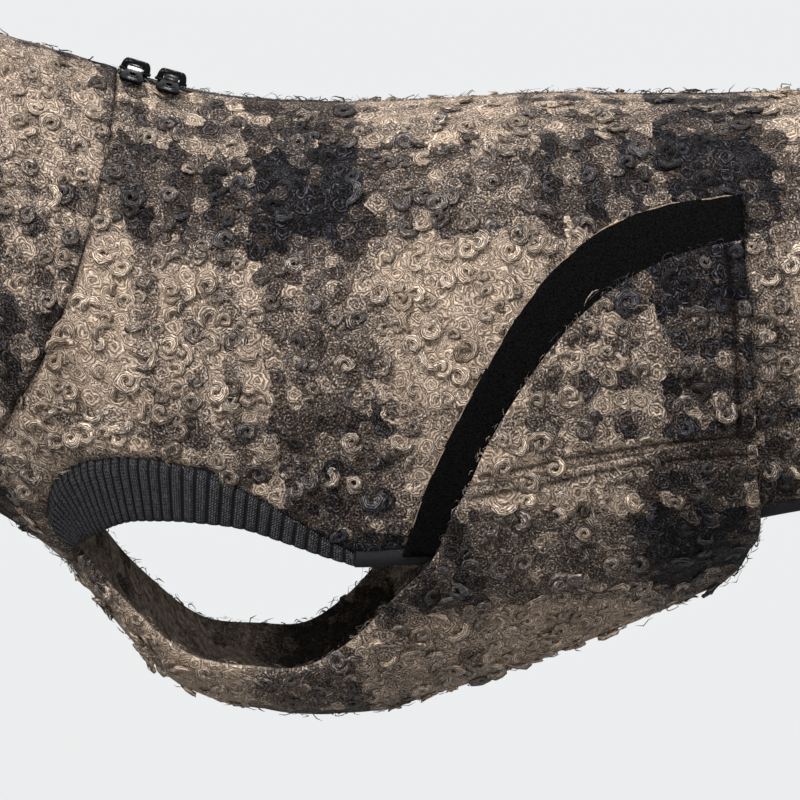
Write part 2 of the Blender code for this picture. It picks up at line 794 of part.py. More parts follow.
def zip_pieces(finishes):
    """The lead zip in the centre back."""
    chain = (-CHAIN_HALF, CHAIN_HALF), (CHAIN_LOW, CHAIN_HIGH), finishes["zip_teeth"]
    spine_bar("zip_chain_front", CHAIN_FRONT, *chain)
    spine_bar("zip_chain_rear", CHAIN_REAR, *chain)
    span = (CHAIN_FRONT[0], CHAIN_REAR[1])
    near, far = ZIP_TAPE_SIDES
    levels = (ZIP_TAPE_LOW, ZIP_TAPE_HIGH)
    spine_bar("zip_tape_left", span, (-far, -near), levels, finishes["zip_tape"])
    spine_bar("zip_tape_right", span, (near, far), levels, finishes["zip_tape"])
    half_turn = Matrix.Rotation(math.pi, 4, "Z")
    for end, distance, turned in (("front", SLIDER_FRONT_AT, Matrix()), ("rear", SLIDER_REAR_AT, half_turn)):
        frame = spine_frame(distance)
        slider("slider_" + end, frame @ turned, finishes["zip_metal"])
        pull("pull_" + end, frame, finishes["zip_metal"])


def main():
    for old in list(bpy.data.objects):
        bpy.data.objects.remove(old)
    finishes = {
        "wool": material("boucle wool", (0.16, 0.13, 0.105), 0.95),
        "rib_knit": material("rib knit", (0.022, 0.023, 0.026), 0.85),
        "binding": material("smooth binding", (0.014, 0.013, 0.015), 0.7),
        "loop_tape": material("loop tape", (0.006, 0.006, 0.007), 0.9),
        "zip_tape": material("zip tape", (0.01, 0.01, 0.011), 0.8),
        "zip_teeth": material("zip teeth", (0.012, 0.012, 0.014), 0.4),
        "zip_metal": material("black zip metal", (0.012, 0.012, 0.014), 0.2, 1.0),
    }
    lines = cut_lines()
    pieces = outlines(lines)
    cloth_pieces(lines, pieces, finishes)
    sewn, free = lines["leg_edge"], trace(CUFF_FREE_EDGE)
    ribbed_cuff("cuff_left", NEAR, sewn, free, finishes["rib_knit"])
    ribbed_cuff("cuff_right", FAR, sewn, free, finishes["rib_knit"])
    zip_pieces(finishes)


main()
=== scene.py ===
"""The looks of the dog coat: curly boucle wool in a large plaid, rib cuffs, loop tape and a lead zip.

Sizes are in millimetres unless a name says metres. Meshes are made in metres, in the frame's axes: +X from
the collar to the tail end, +Z up, -Y the near side.
"""

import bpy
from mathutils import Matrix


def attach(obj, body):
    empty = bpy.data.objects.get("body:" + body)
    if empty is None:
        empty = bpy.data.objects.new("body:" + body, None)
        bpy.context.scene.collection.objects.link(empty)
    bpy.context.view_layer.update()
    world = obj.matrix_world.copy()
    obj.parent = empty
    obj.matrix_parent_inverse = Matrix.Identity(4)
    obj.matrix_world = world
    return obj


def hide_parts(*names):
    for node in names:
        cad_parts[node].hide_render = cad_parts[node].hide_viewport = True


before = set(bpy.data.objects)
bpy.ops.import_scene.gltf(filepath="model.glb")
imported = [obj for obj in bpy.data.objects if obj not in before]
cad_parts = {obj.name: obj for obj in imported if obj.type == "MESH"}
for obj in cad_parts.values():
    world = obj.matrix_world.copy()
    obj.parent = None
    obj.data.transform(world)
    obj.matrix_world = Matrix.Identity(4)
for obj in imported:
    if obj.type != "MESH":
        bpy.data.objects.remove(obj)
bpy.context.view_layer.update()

import math

import bmesh
import bpy
import numpy as np
from mathutils import Matrix, Vector, noise
from mathutils.geometry import delaunay_2d_cdt

MM = 0.001
NEAR, FAR = -1, 1

# ---- sizes that the frame has too
WOOL = 4.0  # cloth with its curled pile
SEAM = 0.3
TAPE, TAPE_WIDTH = 1.2, 25.0
OVER = WOOL + SEAM + TAPE + SEAM  # how far the flaps stand off the form
RAMP = 28.0
BINDING_WIDTH, BINDING_INNER, BINDING_OUTER = 5.0, 0.4, 3.6
COLLAR_START, COAT_END = -86, 459
GIRTH = 330.0  # half girth that one unit of "round" stands for on the flat chart
SLOT_HALF, SLOT_END = 5.0, 80.0

SECTION = ("along", "top_x", "top_z", "low_x", "low_z", "half_width", "widest", "crown")
SECTIONS = (
    (COLLAR_START, -207, 41, -231, -92, 57, 0.50, 2.00),
    (0, -113, 13.5, -175, -149, 70, 0.50, 1.65),
    (34, -96, 8.5, -134, -178, 76, 0.49, 1.50),
    (55, -84, 5.3, -115.5, -200, 79, 0.48, 1.52),
    (76, -72, 3, -92.5, -225.5, 81, 0.47, 1.60),
    (111, -44, 0.5, -52.5, -239.5, 84, 0.46, 1.75),
    (143, -16, 0, -16, -240.5, 85, 0.46, 1.90),
    (179, 20, 1.5, 20, -231, 85, 0.46, 1.95),
    (220, 60, 3.5, 60, -217, 83, 0.46, 2.00),
    (261, 99.5, 3, 100.5, -200.5, 80, 0.46, 2.00),
    (298, 135, 3.5, 136.5, -185, 78, 0.47, 2.00),
    (342, 178.5, 5, 181, -178, 77, 0.48, 2.00),
    (402, 238, 2, 241, -166, 75, 0.50, 2.00),
    (462, 298, -6, 301, -150, 70, 0.50, 2.00),
)
LOW_POWER = 2.0
RING_STEPS = 120

# Cut lines: distance behind the neck seam, and share of the half girth from spine (0) to belly (1)
CUT_ROWS = {
    "collar_edge": ((COLLAR_START, 0), (COLLAR_START, 0.5), (COLLAR_START, 1)),
    "neck_seam": (
        (0, 0), (8, 0.12), (15, 0.24), (18, 0.38), (16, 0.52), (11, 0.64), (5, 0.78), (1, 0.9), (0, 1),
    ),
    "chest_seam": ((39, 0.842), (38, 0.92), (36, 1)),
    "leg_edge": (
        (39, 0.842), (33, 0.853), (28.5, 0.84), (27, 0.8), (27, 0.751), (30, 0.709), (35.5, 0.674),
        (46, 0.633), (61, 0.588), (76, 0.559), (90, 0.556), (105, 0.576), (124, 0.61), (142, 0.647),
    ),
    "hem": (
        (142, 0.647), (160, 0.653), (180, 0.668), (220, 0.7), (260, 0.728), (302, 0.741), (339, 0.726),
        (373, 0.699), (408, 0.636), (432, 0.52), (446, 0.34), (452, 0.16), (454, 0),
    ),
    "band_edge": (
        (39, 0.842), (46, 0.841), (56, 0.846), (70, 0.841), (86, 0.842), (102, 0.833), (122, 0.822),
        (136, 0.787), (150, 0.738), (159, 0.7), (171, 0.663), (180, 0.605), (185, 0.58),
    ),
    "flap_front": (
        (185, 0.58), (190, 0.547), (203, 0.487), (221, 0.424), (241, 0.377), (265, 0.348),
        (292.5, 0.34),
    ),
    "flap_back": ((292.5, 0.34), (295, 0.42), (296.5, 0.52), (297.7, 0.62)),
    "lap_seam": ((185, 0.58), (205, 0.585), (237, 0.59), (262, 0.596), (297.7, 0.62)),
    "belly_back": (
        (297.7, 0.62), (298.5, 0.67), (300.5, 0.745), (300, 0.8), (297.5, 0.86), (293, 0.93), (290, 1),
    ),
    "tape_front": (
        (159.5, 0.653), (166, 0.592), (177, 0.52), (196, 0.425), (208, 0.375), (223, 0.33),
        (241, 0.295), (259, 0.278), (293.5, 0.274),
    ),
}
CUFF_FREE_EDGE = (
    (40, 0.832), (42, 0.803), (45.5, 0.775), (52, 0.729), (65, 0.667), (78, 0.632), (96, 0.618),
    (115, 0.629), (133, 0.65), (142.5, 0.662),
)
CUFF_RUN = (0.006, 1.0)  # share of the leg edge that the cuff covers
RIB_FAN = (  # a rib's share of the sewn edge, and of the free edge
    (0, 0), (0.1, 0.05), (0.2, 0.1), (0.3, 0.18), (0.42, 0.3), (0.56, 0.457), (0.74, 0.671),
    (0.9, 0.866), (1, 1),
)
RIBS, RIB_HEIGHT, CUFF_INNER, CUFF_WALL = 38, 0.9, 0.8, 1.5
RIB_PROFILE = (  # place across a rib, share of its height
    (0.0, 0.0), (0.07, 0.12), (0.15, 0.66), (0.28, 0.93), (0.5, 1.0), (0.72, 0.93), (0.85, 0.66),
    (0.93, 0.12),
)
CUFF_ROWS = 14
BINDING_ROWS = 7
UNDER = 2.0  # how far a trim runs under the wool's edge

# ---- the zip, by distance along the spine behind the neck seam
CHAIN_FRONT = (0.6, 10.2)
CHAIN_REAR = (19.7, 79.4)
ZIP_TAPE_SIDES = (2.3, 4.5)
ZIP_TAPE_LOW, ZIP_TAPE_HIGH = 0.9, 1.9
TOOTH_PITCH = 1.3
SLIDER_FRONT_AT, SLIDER_REAR_AT = 7.4, 22.3
TAB_SPAN = (6.5, 17.0)  # how far along and round a pull tab lies on the wool
NECK_TILT = math.radians(10)

STITCHES = (  # the troughs in the pile: the lapped seam's upper and lower one, and the topstitching
    ((189, 0.571), (207, 0.573), (222, 0.574), (237, 0.577), (262, 0.586), (296, 0.607)),
    ((186, 0.594), (203, 0.597), (217, 0.6), (237, 0.602), (262, 0.61), (297, 0.634)),
    ((286, 0.35), (288.5, 0.42), (290, 0.5), (290.5, 0.6)),
)

# ---- the cloth's own relief
FINE = 3.1  # spacing of the fine cloth's points
BACKING = 2.5  # outer face of the cloth under its curls
EDGE_ROLL, EDGE_DROP = 5.0, 1.3  # how the thick edge rounds off
TROUGH_WIDTH, TROUGH_DEPTH = 1.6, 1.9
LUMP, LUMP_HEIGHT = 6.0, 0.45
NAP = 0.42  # share of loose hairs away from the edges

# ---- plaid: one cloth, cut to a different place for each panel
REPEAT = 158.0
STRAP_END = 98  # where the strap between the legs turns level
DARK, LIGHT = 0.0, 1.0
SETT = (  # start in the repeat, share of light wool
    (0, DARK), (46, LIGHT), (112, 0.25), (119, 0.95), (127, 0.3), (134, 0.9), (142, 0.25),
    (149, 0.75),
)
BLUR = 11.0  # how far two wide stripes run into each other
# panel: where the repeat starts lengthwise and round, which way it runs in each, how the stripes lean
PANEL = ("start_x", "start_round", "way_x", "way_round", "lean")
PANELS = {
    "collar": (-272, 120, 1, 1, 0.1),
    "body": (-57, 43, 1, 1, 0.1),
    "belly_panel": (-34, 35, -1, 1, 0.1),
    "wing": (-64, 118, 1, -1, 0.06),
}


# ---- the form


def column(rows, columns, name):
    """One named column of a table."""
    return np.array([row[columns.index(name)] for row in rows], float)


def smooth(knots, values, x):
    """Reads a smooth curve through the values at x."""
    slopes = np.gradient(values, knots)
    i = int(np.clip(np.searchsorted(knots, x) - 1, 0, len(knots) - 2))
    span = knots[i + 1] - knots[i]
    t = (x - knots[i]) / span
    rise = values[i + 1] - values[i]
    bend_a = slopes[i] * span - rise
    bend_b = rise - slopes[i + 1] * span
    return values[i] + t * rise + t * (1 - t) * ((1 - t) * bend_a + t * bend_b)


SECTION_AT = {name: column(SECTIONS, SECTION, name) for name in SECTION}
ALONGS = np.arange(COLLAR_START, COAT_END + 4.0)
SHARES = np.linspace(0.0, 1.0, 241)


def ring(along):
    """The half section at a place: its points by share of the half girth, and the half girth."""
    at = {name: smooth(SECTION_AT["along"], SECTION_AT[name], along) for name in SECTION[1:]}
    top = np.array((at["top_x"], at["top_z"]))
    low = np.array((at["low_x"], at["low_z"]))
    height = np.linalg.norm(low - top)
    angle = np.linspace(0.0, math.pi, RING_STEPS + 1)
    upper_half = angle <= math.pi / 2
    power = np.where(upper_half, 2 / at["crown"], 2 / LOW_POWER)
    reach = np.abs(np.cos(angle)) ** power
    above = at["widest"] * (1 - reach)
    below = at["widest"] + (1 - at["widest"]) * reach
    drop = height * np.where(upper_half, above, below)
    side = at["half_width"] * np.abs(np.sin(angle)) ** power
    side[0] = side[-1] = 0.0
    length = np.concatenate(([0.0], np.cumsum(np.hypot(np.diff(drop), np.diff(side)))))
    shares = length / length[-1]
    place = top + (low - top) / height * np.interp(SHARES, shares, drop)[:, None]
    points = np.column_stack((place[:, 0], -np.interp(SHARES, shares, side), place[:, 1]))
    return points, length[-1]


def form_grid():
    """Points, outward normals and half girths of the form, on a grid of along and share."""
    rings = [ring(along) for along in ALONGS]
    points = np.array([each[0] for each in rings])
    around = np.gradient(points, axis=1)
    lengthwise = np.gradient(points, axis=0)
    normals = np.cross(around, lengthwise)
    normals[:, (0, -1), 1] = 0.0
    normals /= np.linalg.norm(normals, axis=2, keepdims=True)
    return points, normals, np.array([each[1] for each in rings])


FORM, NORMALS, HALF_GIRTHS = form_grid()


def read_grid(grid, along, share):
    """Values of the grid between its points."""
    i = np.clip(np.asarray(along, float) - ALONGS[0], 0, len(ALONGS) - 1.001)
    j = np.clip(np.asarray(share, float), 0, 1) * (len(SHARES) - 1.001)
    i0, j0 = i.astype(int), j.astype(int)
    s, t = (i - i0)[..., None], (j - j0)[..., None]
    near_row = grid[i0, j0] * (1 - t) + grid[i0, j0 + 1] * t
    next_row = grid[i0 + 1, j0] * (1 - t) + grid[i0 + 1, j0 + 1] * t
    return near_row * (1 - s) + next_row * s


def cloth_points(along, share, out):
    """Points at a distance outside the form, near side."""
    normals = read_grid(NORMALS, along, share)
    normals = normals / np.linalg.norm(normals, axis=-1, keepdims=True)
    return read_grid(FORM, along, share) + normals * np.asarray(out, float)[..., None]


def half_girth(along):
    """Length round the near half of the form at a place."""
    return np.interp(along, ALONGS, HALF_GIRTHS)


# ---- cut lines on the flat chart, whose axes are along and round * GIRTH


def lengths_along(points):
    """Distance travelled along a line at each of its points."""
    return np.concatenate(([0.0], np.cumsum(np.linalg.norm(np.diff(points, axis=0), axis=1))))


def trace(rows, step=FINE):
    """A smooth line through a table's rows, with points about every step."""
    knots = np.array(rows, float) * (1.0, GIRTH)
    reach = lengths_along(knots)
    places = np.linspace(0.0, reach[-1], max(2, round(reach[-1] / step) + 1))
    return np.array([[smooth(reach, knots[:, axis], place) for axis in (0, 1)] for place in places])


def beside(line, distance):
    """The line moved sideways on the cloth, to the right of its direction seen from the near side."""
    along, share = line[:, 0], line[:, 1] / GIRTH
    tangents = np.gradient(line, axis=0)
    step = 1.0
    low = cloth_points(along - step, share, np.zeros(len(line)))
    high = cloth_points(along + step, share, np.zeros(len(line)))
    length_scale = np.linalg.norm(high - low, axis=1) / (2 * step)
    round_scale = half_girth(along) / GIRTH
    flat = tangents * np.column_stack((length_scale, round_scale))
    flat /= np.linalg.norm(flat, axis=1, keepdims=True)
    move = np.column_stack((-flat[:, 1] / length_scale, flat[:, 0] / round_scale))
    return line + move * distance


def on_line(line, axis, value):
    """The point of the line where one chart coordinate has this value."""
    for start, end in zip(line[:-1], line[1:]):
        if min(start[axis], end[axis]) <= value <= max(start[axis], end[axis]):
            t = (value - start[axis]) / (end[axis] - start[axis])
            return start + t * (end - start)
    raise ValueError("the line doesn't reach this value")


def straight(start, end, step=FINE):
    """A straight line on the chart."""
    count = max(2, round(np.linalg.norm(np.subtract(end, start)) / step) + 1)
    return np.linspace(start, end, count)


SPINE_LENGTHS = lengths_along(FORM[-COLLAR_START:, 0])


def spine_along(distance):
    """The value of "along" at a distance behind the neck seam, measured on the spine."""
    return np.interp(distance, SPINE_LENGTHS, ALONGS[-COLLAR_START:])


def cut_lines():
    """Every line that the cloth is cut on, by name."""
    lines = {name: trace(rows) for name, rows in CUT_ROWS.items()}
    along = spine_along(np.linspace(0.0, SLOT_END, 28))
    lines["slot"] = np.column_stack((along, SLOT_HALF / half_girth(along) * GIRTH))
    seam = lines["neck_seam"]
    slot_start = on_line(seam, 1, lines["slot"][0][1])
    lines["slot"][0] = slot_start
    lines["neck_seam_top"] = straight(seam[0], slot_start)
    lines["neck_seam"] = np.vstack((slot_start, seam[seam[:, 1] > slot_start[1] + 1.0]))
    lines["slot_rear"] = straight(lines["slot"][-1], (lines["slot"][-1][0], 0.0))
    lines["binding_edge"] = beside(lines["hem"], BINDING_WIDTH)
    lines["binding_edge"][-1][1] = 0.0
    tape_back = beside(lines["tape_front"], TAPE_WIDTH)
    lines["tape_back"] = tape_back[tape_back[:, 1] < 0.66 * GIRTH]
    hem, front = lines["hem"], lines["tape_front"]
    tape_low = (on_line(hem, 0, front[0][0]), on_line(hem, 0, lines["tape_back"][0][0] - 2.0))
    under_tape = hem[(hem[:, 0] > tape_low[0][0] + 1.0) & (hem[:, 0] < tape_low[1][0] - 1.0)]
    lines["tape_foot"] = np.vstack((tape_low[0], under_tape, tape_low[1]))
    lines["tape_front"][0] = tape_low[0]
    lines["tape_back"] = np.vstack((tape_low[1], lines["tape_back"]))
    lines["tape_end"] = straight(lines["tape_front"][-1], lines["tape_back"][-1])
    return lines


OUTLINES = {  # the lines round each piece in turn, with "-" before one walked backwards
    "collar": ("collar_edge", "-neck_seam", "-neck_seam_top"),
    "body": ("neck_seam", "-chest_seam", "leg_edge", "hem", "-slot_rear", "-slot"),
    "belly_panel": ("band_edge", "lap_seam", "belly_back", "-chest_seam"),
    "wing": ("flap_front", "flap_back", "-lap_seam"),
    "binding": ("hem", "-binding_edge"),
    "loop_tape": ("tape_front", "tape_end", "-tape_back", "-tape_foot"),
}


def outlines(lines):
    """The near half of every piece of cloth, as closed outlines on the chart."""
    found = {}
    for piece, names in OUTLINES.items():
        run = [lines[name.lstrip("-")][:: -1 if name[0] == "-" else 1] for name in names]
        found[piece] = []
        for line, following in zip(run, run[1:] + run[:1]):
            found[piece] += line[:-1].tolist()
            if np.linalg.norm(following[0] - line[-1]) > 1.0:  # a straight line closes the gap
                found[piece] += straight(line[-1], following[0])[:-1].tolist()
    return {piece: np.array(outline) for piece, outline in found.items()}


def inside(outline, points):
    """Which of the points lie inside the outline."""
    x, y = points[:, :1], points[:, 1:]
    x1, y1 = outline[:, 0], outline[:, 1]
    x2, y2 = np.roll(x1, -1), np.roll(y1, -1)
    spans = (y1 > y) != (y2 > y)
    rise = np.where(y2 == y1, 1.0, y2 - y1)
    crossed = spans & (x < (x2 - x1) * (y - y1) / rise + x1)
    return crossed.sum(axis=1) % 2 == 1


def distance_to(line, points):
    """Distance on the chart from each point to a line."""
    start, run = line[:-1], np.diff(line, axis=0)
    squares = np.maximum((run * run).sum(-1), 1e-9)
    nearest = np.full(len(points), np.inf)
    for (x, y), (dx, dy), square in zip(start, run, squares):
        ox, oy = points[:, 0] - x, points[:, 1] - y
        t = np.clip((ox * dx + oy * dy) / square, 0.0, 1.0)
        nearest = np.minimum(nearest, np.hypot(ox - t * dx, oy - t * dy))
    return nearest


def chart_mesh(lines, stitches, pieces):
    """One fine triangle mesh of the whole chart, with every cut line as edges."""
    drawn = list(lines.values()) + [np.vstack((outline, outline[:1])) for outline in pieces.values()]
    for line in stitches:
        drawn += [line, line - (0, TROUGH_WIDTH), line + (0, TROUGH_WIDTH)]
    points, edges = [], []
    for line in drawn:
        first = len(points)
        points.extend(line)
        edges.extend((first + i, first + i + 1) for i in range(len(line) - 1))
    row_step = FINE * math.sqrt(3) / 2
    filling = []
    for i, along in enumerate(np.arange(COLLAR_START + row_step, COAT_END, row_step)):
        across = np.arange(FINE / 2 * (i % 2) + FINE / 2, GIRTH - FINE / 3, FINE)
        filling.append(np.column_stack((np.full(len(across), along), across)))
    filling = np.vstack(filling)
    held = np.zeros(len(filling), bool)
    for outline in pieces.values():
        held |= inside(outline, filling)
    filling = filling[held]
    clear = np.ones(len(filling), bool)
    for line in drawn:
        clear &= distance_to(line, filling) > FINE * 0.5
    points.extend(filling[clear])
    found = delaunay_2d_cdt([Vector(point) for point in points], edges, [], 0, 0.01)
    return np.array([tuple(point) for point in found[0]]), np.array(found[2])


# ---- meshes


def ride(made, body="coat", replaces=()):
    """Puts a piece on its body, and says what it stands for."""
    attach(made, body)
    if replaces:
        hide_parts(*replaces)
    return made


def linked(name, data):
    """A new object in the scene."""
    made = bpy.data.objects.new(name, data)
    bpy.context.collection.objects.link(made)
    return made


def mesh_object(name, points, faces, finishes):
    """An object from points in millimetres."""
    mesh = bpy.data.meshes.new(name)
    mesh.from_pydata((np.asarray(points) * MM).tolist(), [], faces)
    for finish in finishes:
        mesh.materials.append(finish)
    mesh.shade_smooth()
    return linked(name, mesh)


def rim_edges(faces, centre):
    """Edges of one triangle only, but for those on the centre line of a piece made on both sides."""
    edges = np.sort(np.concatenate((faces[:, (0, 1)], faces[:, (1, 2)], faces[:, (2, 0)])), axis=1)
    unique, counts = np.unique(edges, axis=0, return_counts=True)
    single = unique[counts == 1]
    return {tuple(edge) for edge in single.tolist() if not centre.issuperset(edge)}


def nap_at(nap, levels):
    """Hairs stand on both faces where they are thick, on the outer face only where they are thin."""
    return np.where(nap > NAP, nap, nap * (1 - levels))


def shell(name, chart, faces, heights, finish, sides, cloth, grown_at):
    """A closed thin shell of cloth over some of the chart's triangles.

    heights says how far its inner and its outer face stand off the form. cloth(side) gives the place on the
    flat cloth of every chart point, kept as the UV map "cloth". Attributes say where locks ("pile"), hairs
    ("nap") and the edge's fringe ("rim") stand, where it is stitched down and the wool darkened as painted
    shade in the seam's valley ("stitch"), and which face is the "reverse".
    """
    used = np.unique(faces)
    shares = np.clip(chart[used, 1] / GIRTH, 0.0, 1.0)
    on_centre = (shares == 0.0) | (shares == 1.0)
    centre = set(used[on_centre].tolist()) if len(sides) == 2 else set()
    faces_of = [cloth_points(chart[used, 0], shares, out[used]) for out in heights]
    low, high = [dict(zip(used.tolist(), face)) for face in faces_of]
    rim = rim_edges(faces, centre)
    points, made, source, levels, index, corners = [], [], [], [], {}, []
    for side in sides:
        flat = cloth(side)

        def key(vertex, side=side):
            return (vertex, 0 if vertex in centre else side)

        for vertex in used.tolist():
            if key(vertex) in index:
                continue
            index[key(vertex)] = len(points)
            mirror = (1, 0, 1) if vertex in centre else (1, -side, 1)
            points += [low[vertex] * mirror, high[vertex] * mirror]
            source += [vertex, vertex]
            levels += [1.0, 0.0]
        for a, b, c in faces.tolist():
            loops = [[(a, 0), (b, 0), (c, 0)], [(a, 1), (c, 1), (b, 1)]]
            for start, end in ((a, b), (b, c), (c, a)):
                if (min(start, end), max(start, end)) in rim:
                    loops.append([(start, 0), (start, 1), (end, 1), (end, 0)])
            for loop in loops:
                if side == FAR:
                    loop.reverse()
                made.append([index[key(vertex)] + level for vertex, level in loop])
                corners += [flat[vertex] for vertex, _ in loop]
    piece = mesh_object(name, points, made, [finish])
    mesh = piece.data
    mesh.uv_layers.new(name="cloth").data.foreach_set("uv", (np.array(corners) * MM).ravel())
    levels = np.array(levels)
    at = {kind: values[source] for kind, values in grown_at.items()}
    for kind, values in (
        ("reverse", levels),
        ("pile", at["pile"] * (1 - levels)),
        ("nap", nap_at(at["nap"], levels)),
        ("rim", at["rim"]),
        ("stitch_and_shade", at["stitch_and_shade"] * (1 - levels)),
    ):
        mesh.attributes.new(kind, "FLOAT", "POINT").data.foreach_set("value", values.astype(np.float32))
    return piece


def flat_cloth(chart, panel, wraps):
    """Function that gives each chart point's place on the flat plaid cloth, by side.

    wraps says where the far half goes on: "spine" or "belly" for a piece made on both sides, or None for a
    separate far piece, cut a whole number of repeats away.
    """
    row = dict(zip(PANEL, PANELS[panel]))
    shares = np.clip(chart[:, 1] / GIRTH, 0.0, 1.0)
    arc = shares * half_girth(chart[:, 0])
    lengthwise = read_grid(FORM, chart[:, 0], shares)[:, 0] - row["start_x"]
    if panel == "belly_panel":  # the rising strap takes more cloth than its length along X
        extra = lengths_along(FORM[:, -20]) - FORM[:, -20, 0]
        lengthwise += np.interp(np.minimum(chart[:, 0], STRAP_END), ALONGS, extra)
        lengthwise -= np.interp(STRAP_END, ALONGS, extra)

    def places(side):
        round_place = arc
        shift = 0.0
        if side == FAR and wraps == "spine":
            round_place = -arc
        elif side == FAR and wraps == "belly":
            round_place = 2 * half_girth(chart[:, 0]) - arc
        elif side == FAR:
            shift = 6 * REPEAT
        across = (round_place - row["start_round"]) * row["way_round"]
        down = (lengthwise - row["lean"] * (round_place - 70.0)) * row["way_x"]
        return np.column_stack((down + shift, across + shift))

    return places


def light_share(places):
    """Share of light wool at places on the flat cloth, the mean of warp and weft."""
    starts = np.array([start for start, _ in SETT] + [REPEAT])
    tones = np.array([tone for _, tone in SETT])
    found = [tones[np.searchsorted(starts, places[:, axis] % REPEAT, side="right") - 1] for axis in (0, 1)]
    return (found[0] + found[1]) / 2


# ---- materials


class Value:
    """A value in a node tree. Formulas of values and numbers make its math nodes."""

    def __init__(self, socket, vector=False):
        self.socket, self.vector, self.tree = socket, vector, socket.id_data

    def math(self, operation, *others):
        kind = "ShaderNodeVectorMath" if self.vector else "ShaderNodeMath"
        made = node(self.tree, kind, dict(enumerate((self, *others))), operation=operation)
        still_vector = self.vector and operation != "LENGTH"
        return Value(made.outputs["Vector" if still_vector else "Value"], still_vector)

    def __add__(self, other):
        return self.math("ADD", other)

    def __sub__(self, other):
        return self.math("SUBTRACT", other)

    def __mul__(self, other):
        return self.math("MULTIPLY", other)

    def __truediv__(self, other):
        return self.math("DIVIDE", other)

    def parts(self):
        """Its X, Y and Z."""
        return [Value(part) for part in node(self.tree, "ShaderNodeSeparateXYZ", {0: self}).outputs]


def node(tree, kind, inputs=None, **settings):
    """A node with its settings, and its inputs by name or number as values or links."""
    made = tree.nodes.new(kind)
    for name, value in settings.items():
        setattr(made, name, value)
    for key, value in (inputs or {}).items():
        socket = value.socket if isinstance(value, Value) else value
        if isinstance(socket, bpy.types.NodeSocket):
            tree.links.new(socket, made.inputs[key])
        else:
            made.inputs[key].default_value = value
    return made


def mapped(value, low, high, to_low=0.0, to_high=1.0):
    """The value moved from one range to another, and kept inside it."""
    inputs = dict(enumerate((value, low, high, to_low, to_high)))
    return Value(node(value.tree, "ShaderNodeMapRange", inputs).outputs[0])


def mixed(share, a, b):
    """A colour or place between two others, at a share from 0 to 1."""
    known = next(each for each in (a, b, share) if isinstance(each, Value))
    made = node(known.tree, "ShaderNodeMix", {0: share, 6: a, 7: b}, data_type="RGBA")
    return Value(made.outputs[2], known.vector)


def combined(x, y, z):
    """A vector from three values or numbers."""
    known = next(each for each in (x, y, z) if isinstance(each, Value))
    return Value(node(known.tree, "ShaderNodeCombineXYZ", {0: x, 1: y, 2: z}).outputs[0], True)


def colour(red, green, blue):
    """A linear colour from one in 0..255 as seen on a screen."""
    parts = [c / 255 for c in (red, green, blue)]
    linear = [c / 12.92 if c <= 0.04045 else ((c + 0.055) / 1.055) ** 2.4 for c in parts]
    return (*linear, 1.0)


def ramp(share, stops):
    """Colour of a ramp at a share; stops are (place, colour or grey)."""
    made = node(share.tree, "ShaderNodeValToRGB", {0: share})
    elements = made.color_ramp.elements
    elements.remove(elements[1])
    for i, (place, value) in enumerate(stops):
        element = elements[0] if i == 0 else elements.new(place)
        element.position = place
        element.color = value if isinstance(value, tuple) else (value, value, value, 1.0)
    return Value(made.outputs[0])


def noise_at(place, scale, detail=2.0, roughness=0.5):
    """A noise texture's value at a place."""
    inputs = {"Vector": place, "Scale": scale, "Detail": detail, "Roughness": roughness}
    return Value(node(place.tree, "ShaderNodeTexNoise", inputs).outputs[0])


def wander_at(place, scale, detail, reach):
    """A vector that wanders from place to place, with its reach along X, Y and Z."""
    inputs = {"Vector": place, "Scale": scale, "Detail": detail}
    drift = Value(node(place.tree, "ShaderNodeTexNoise", inputs).outputs["Color"], True)
    return (drift - (0.5, 0.5, 0.5)) * reach


def cells_at(place, scale):
    """The flat cells of a texture: the middle of the one at a place, and its three random numbers."""
    inputs = {"Vector": place, "Scale": scale}
    cells = node(place.tree, "ShaderNodeTexVoronoi", inputs, voronoi_dimensions="2D")
    numbers = node(place.tree, "ShaderNodeSeparateColor", {0: cells.outputs["Color"]}).outputs
    return Value(cells.outputs["Position"], True), [Value(number) for number in numbers]


def another(number, times):
    """Another random number from 0 to 1, made from a first one."""
    return (number * times).math("FRACT")


def attribute(tree, name, output="Fac"):
    """What an attribute or a UV map says."""
    return Value(node(tree, "ShaderNodeAttribute", attribute_name=name).outputs[output], output == "Vector")


def object_place(tree):
    return Value(node(tree, "ShaderNodeTexCoord").outputs["Object"], True)


def new_material(name):
    """A material, its node tree and its shader."""
    made = bpy.data.materials.new(name)
    made.use_nodes = True
    return made, made.node_tree, made.node_tree.nodes["Principled BSDF"]


def dress(shader, shade, height, bump_height, strength, roughness, specular, sheen=0.0):
    """Links a material's colour and relief, and sets its shine."""
    relief = {"Height": height, "Distance": bump_height, "Strength": strength}
    bump = node(shade.tree, "ShaderNodeBump", relief)
    shade.tree.links.new(shade.socket, shader.inputs["Base Color"])
    shade.tree.links.new(bump.outputs[0], shader.inputs["Normal"])
    shader.inputs["Roughness"].default_value = roughness
    shader.inputs["Specular IOR Level"].default_value = specular
    shader.inputs["Sheen Weight"].default_value = sheen


def stripe_stops():
    """The sett as ramp stops, each stripe running a little into the next."""
    stops = []
    ends = [start for start, _ in SETT[1:]] + [REPEAT]
    for (start, tone), end in zip(SETT, ends):
        soft = min(BLUR / 2, (end - start) * 0.36) / REPEAT
        stops += [(start / REPEAT + soft, tone), (end / REPEAT - soft, tone)]
    return stops


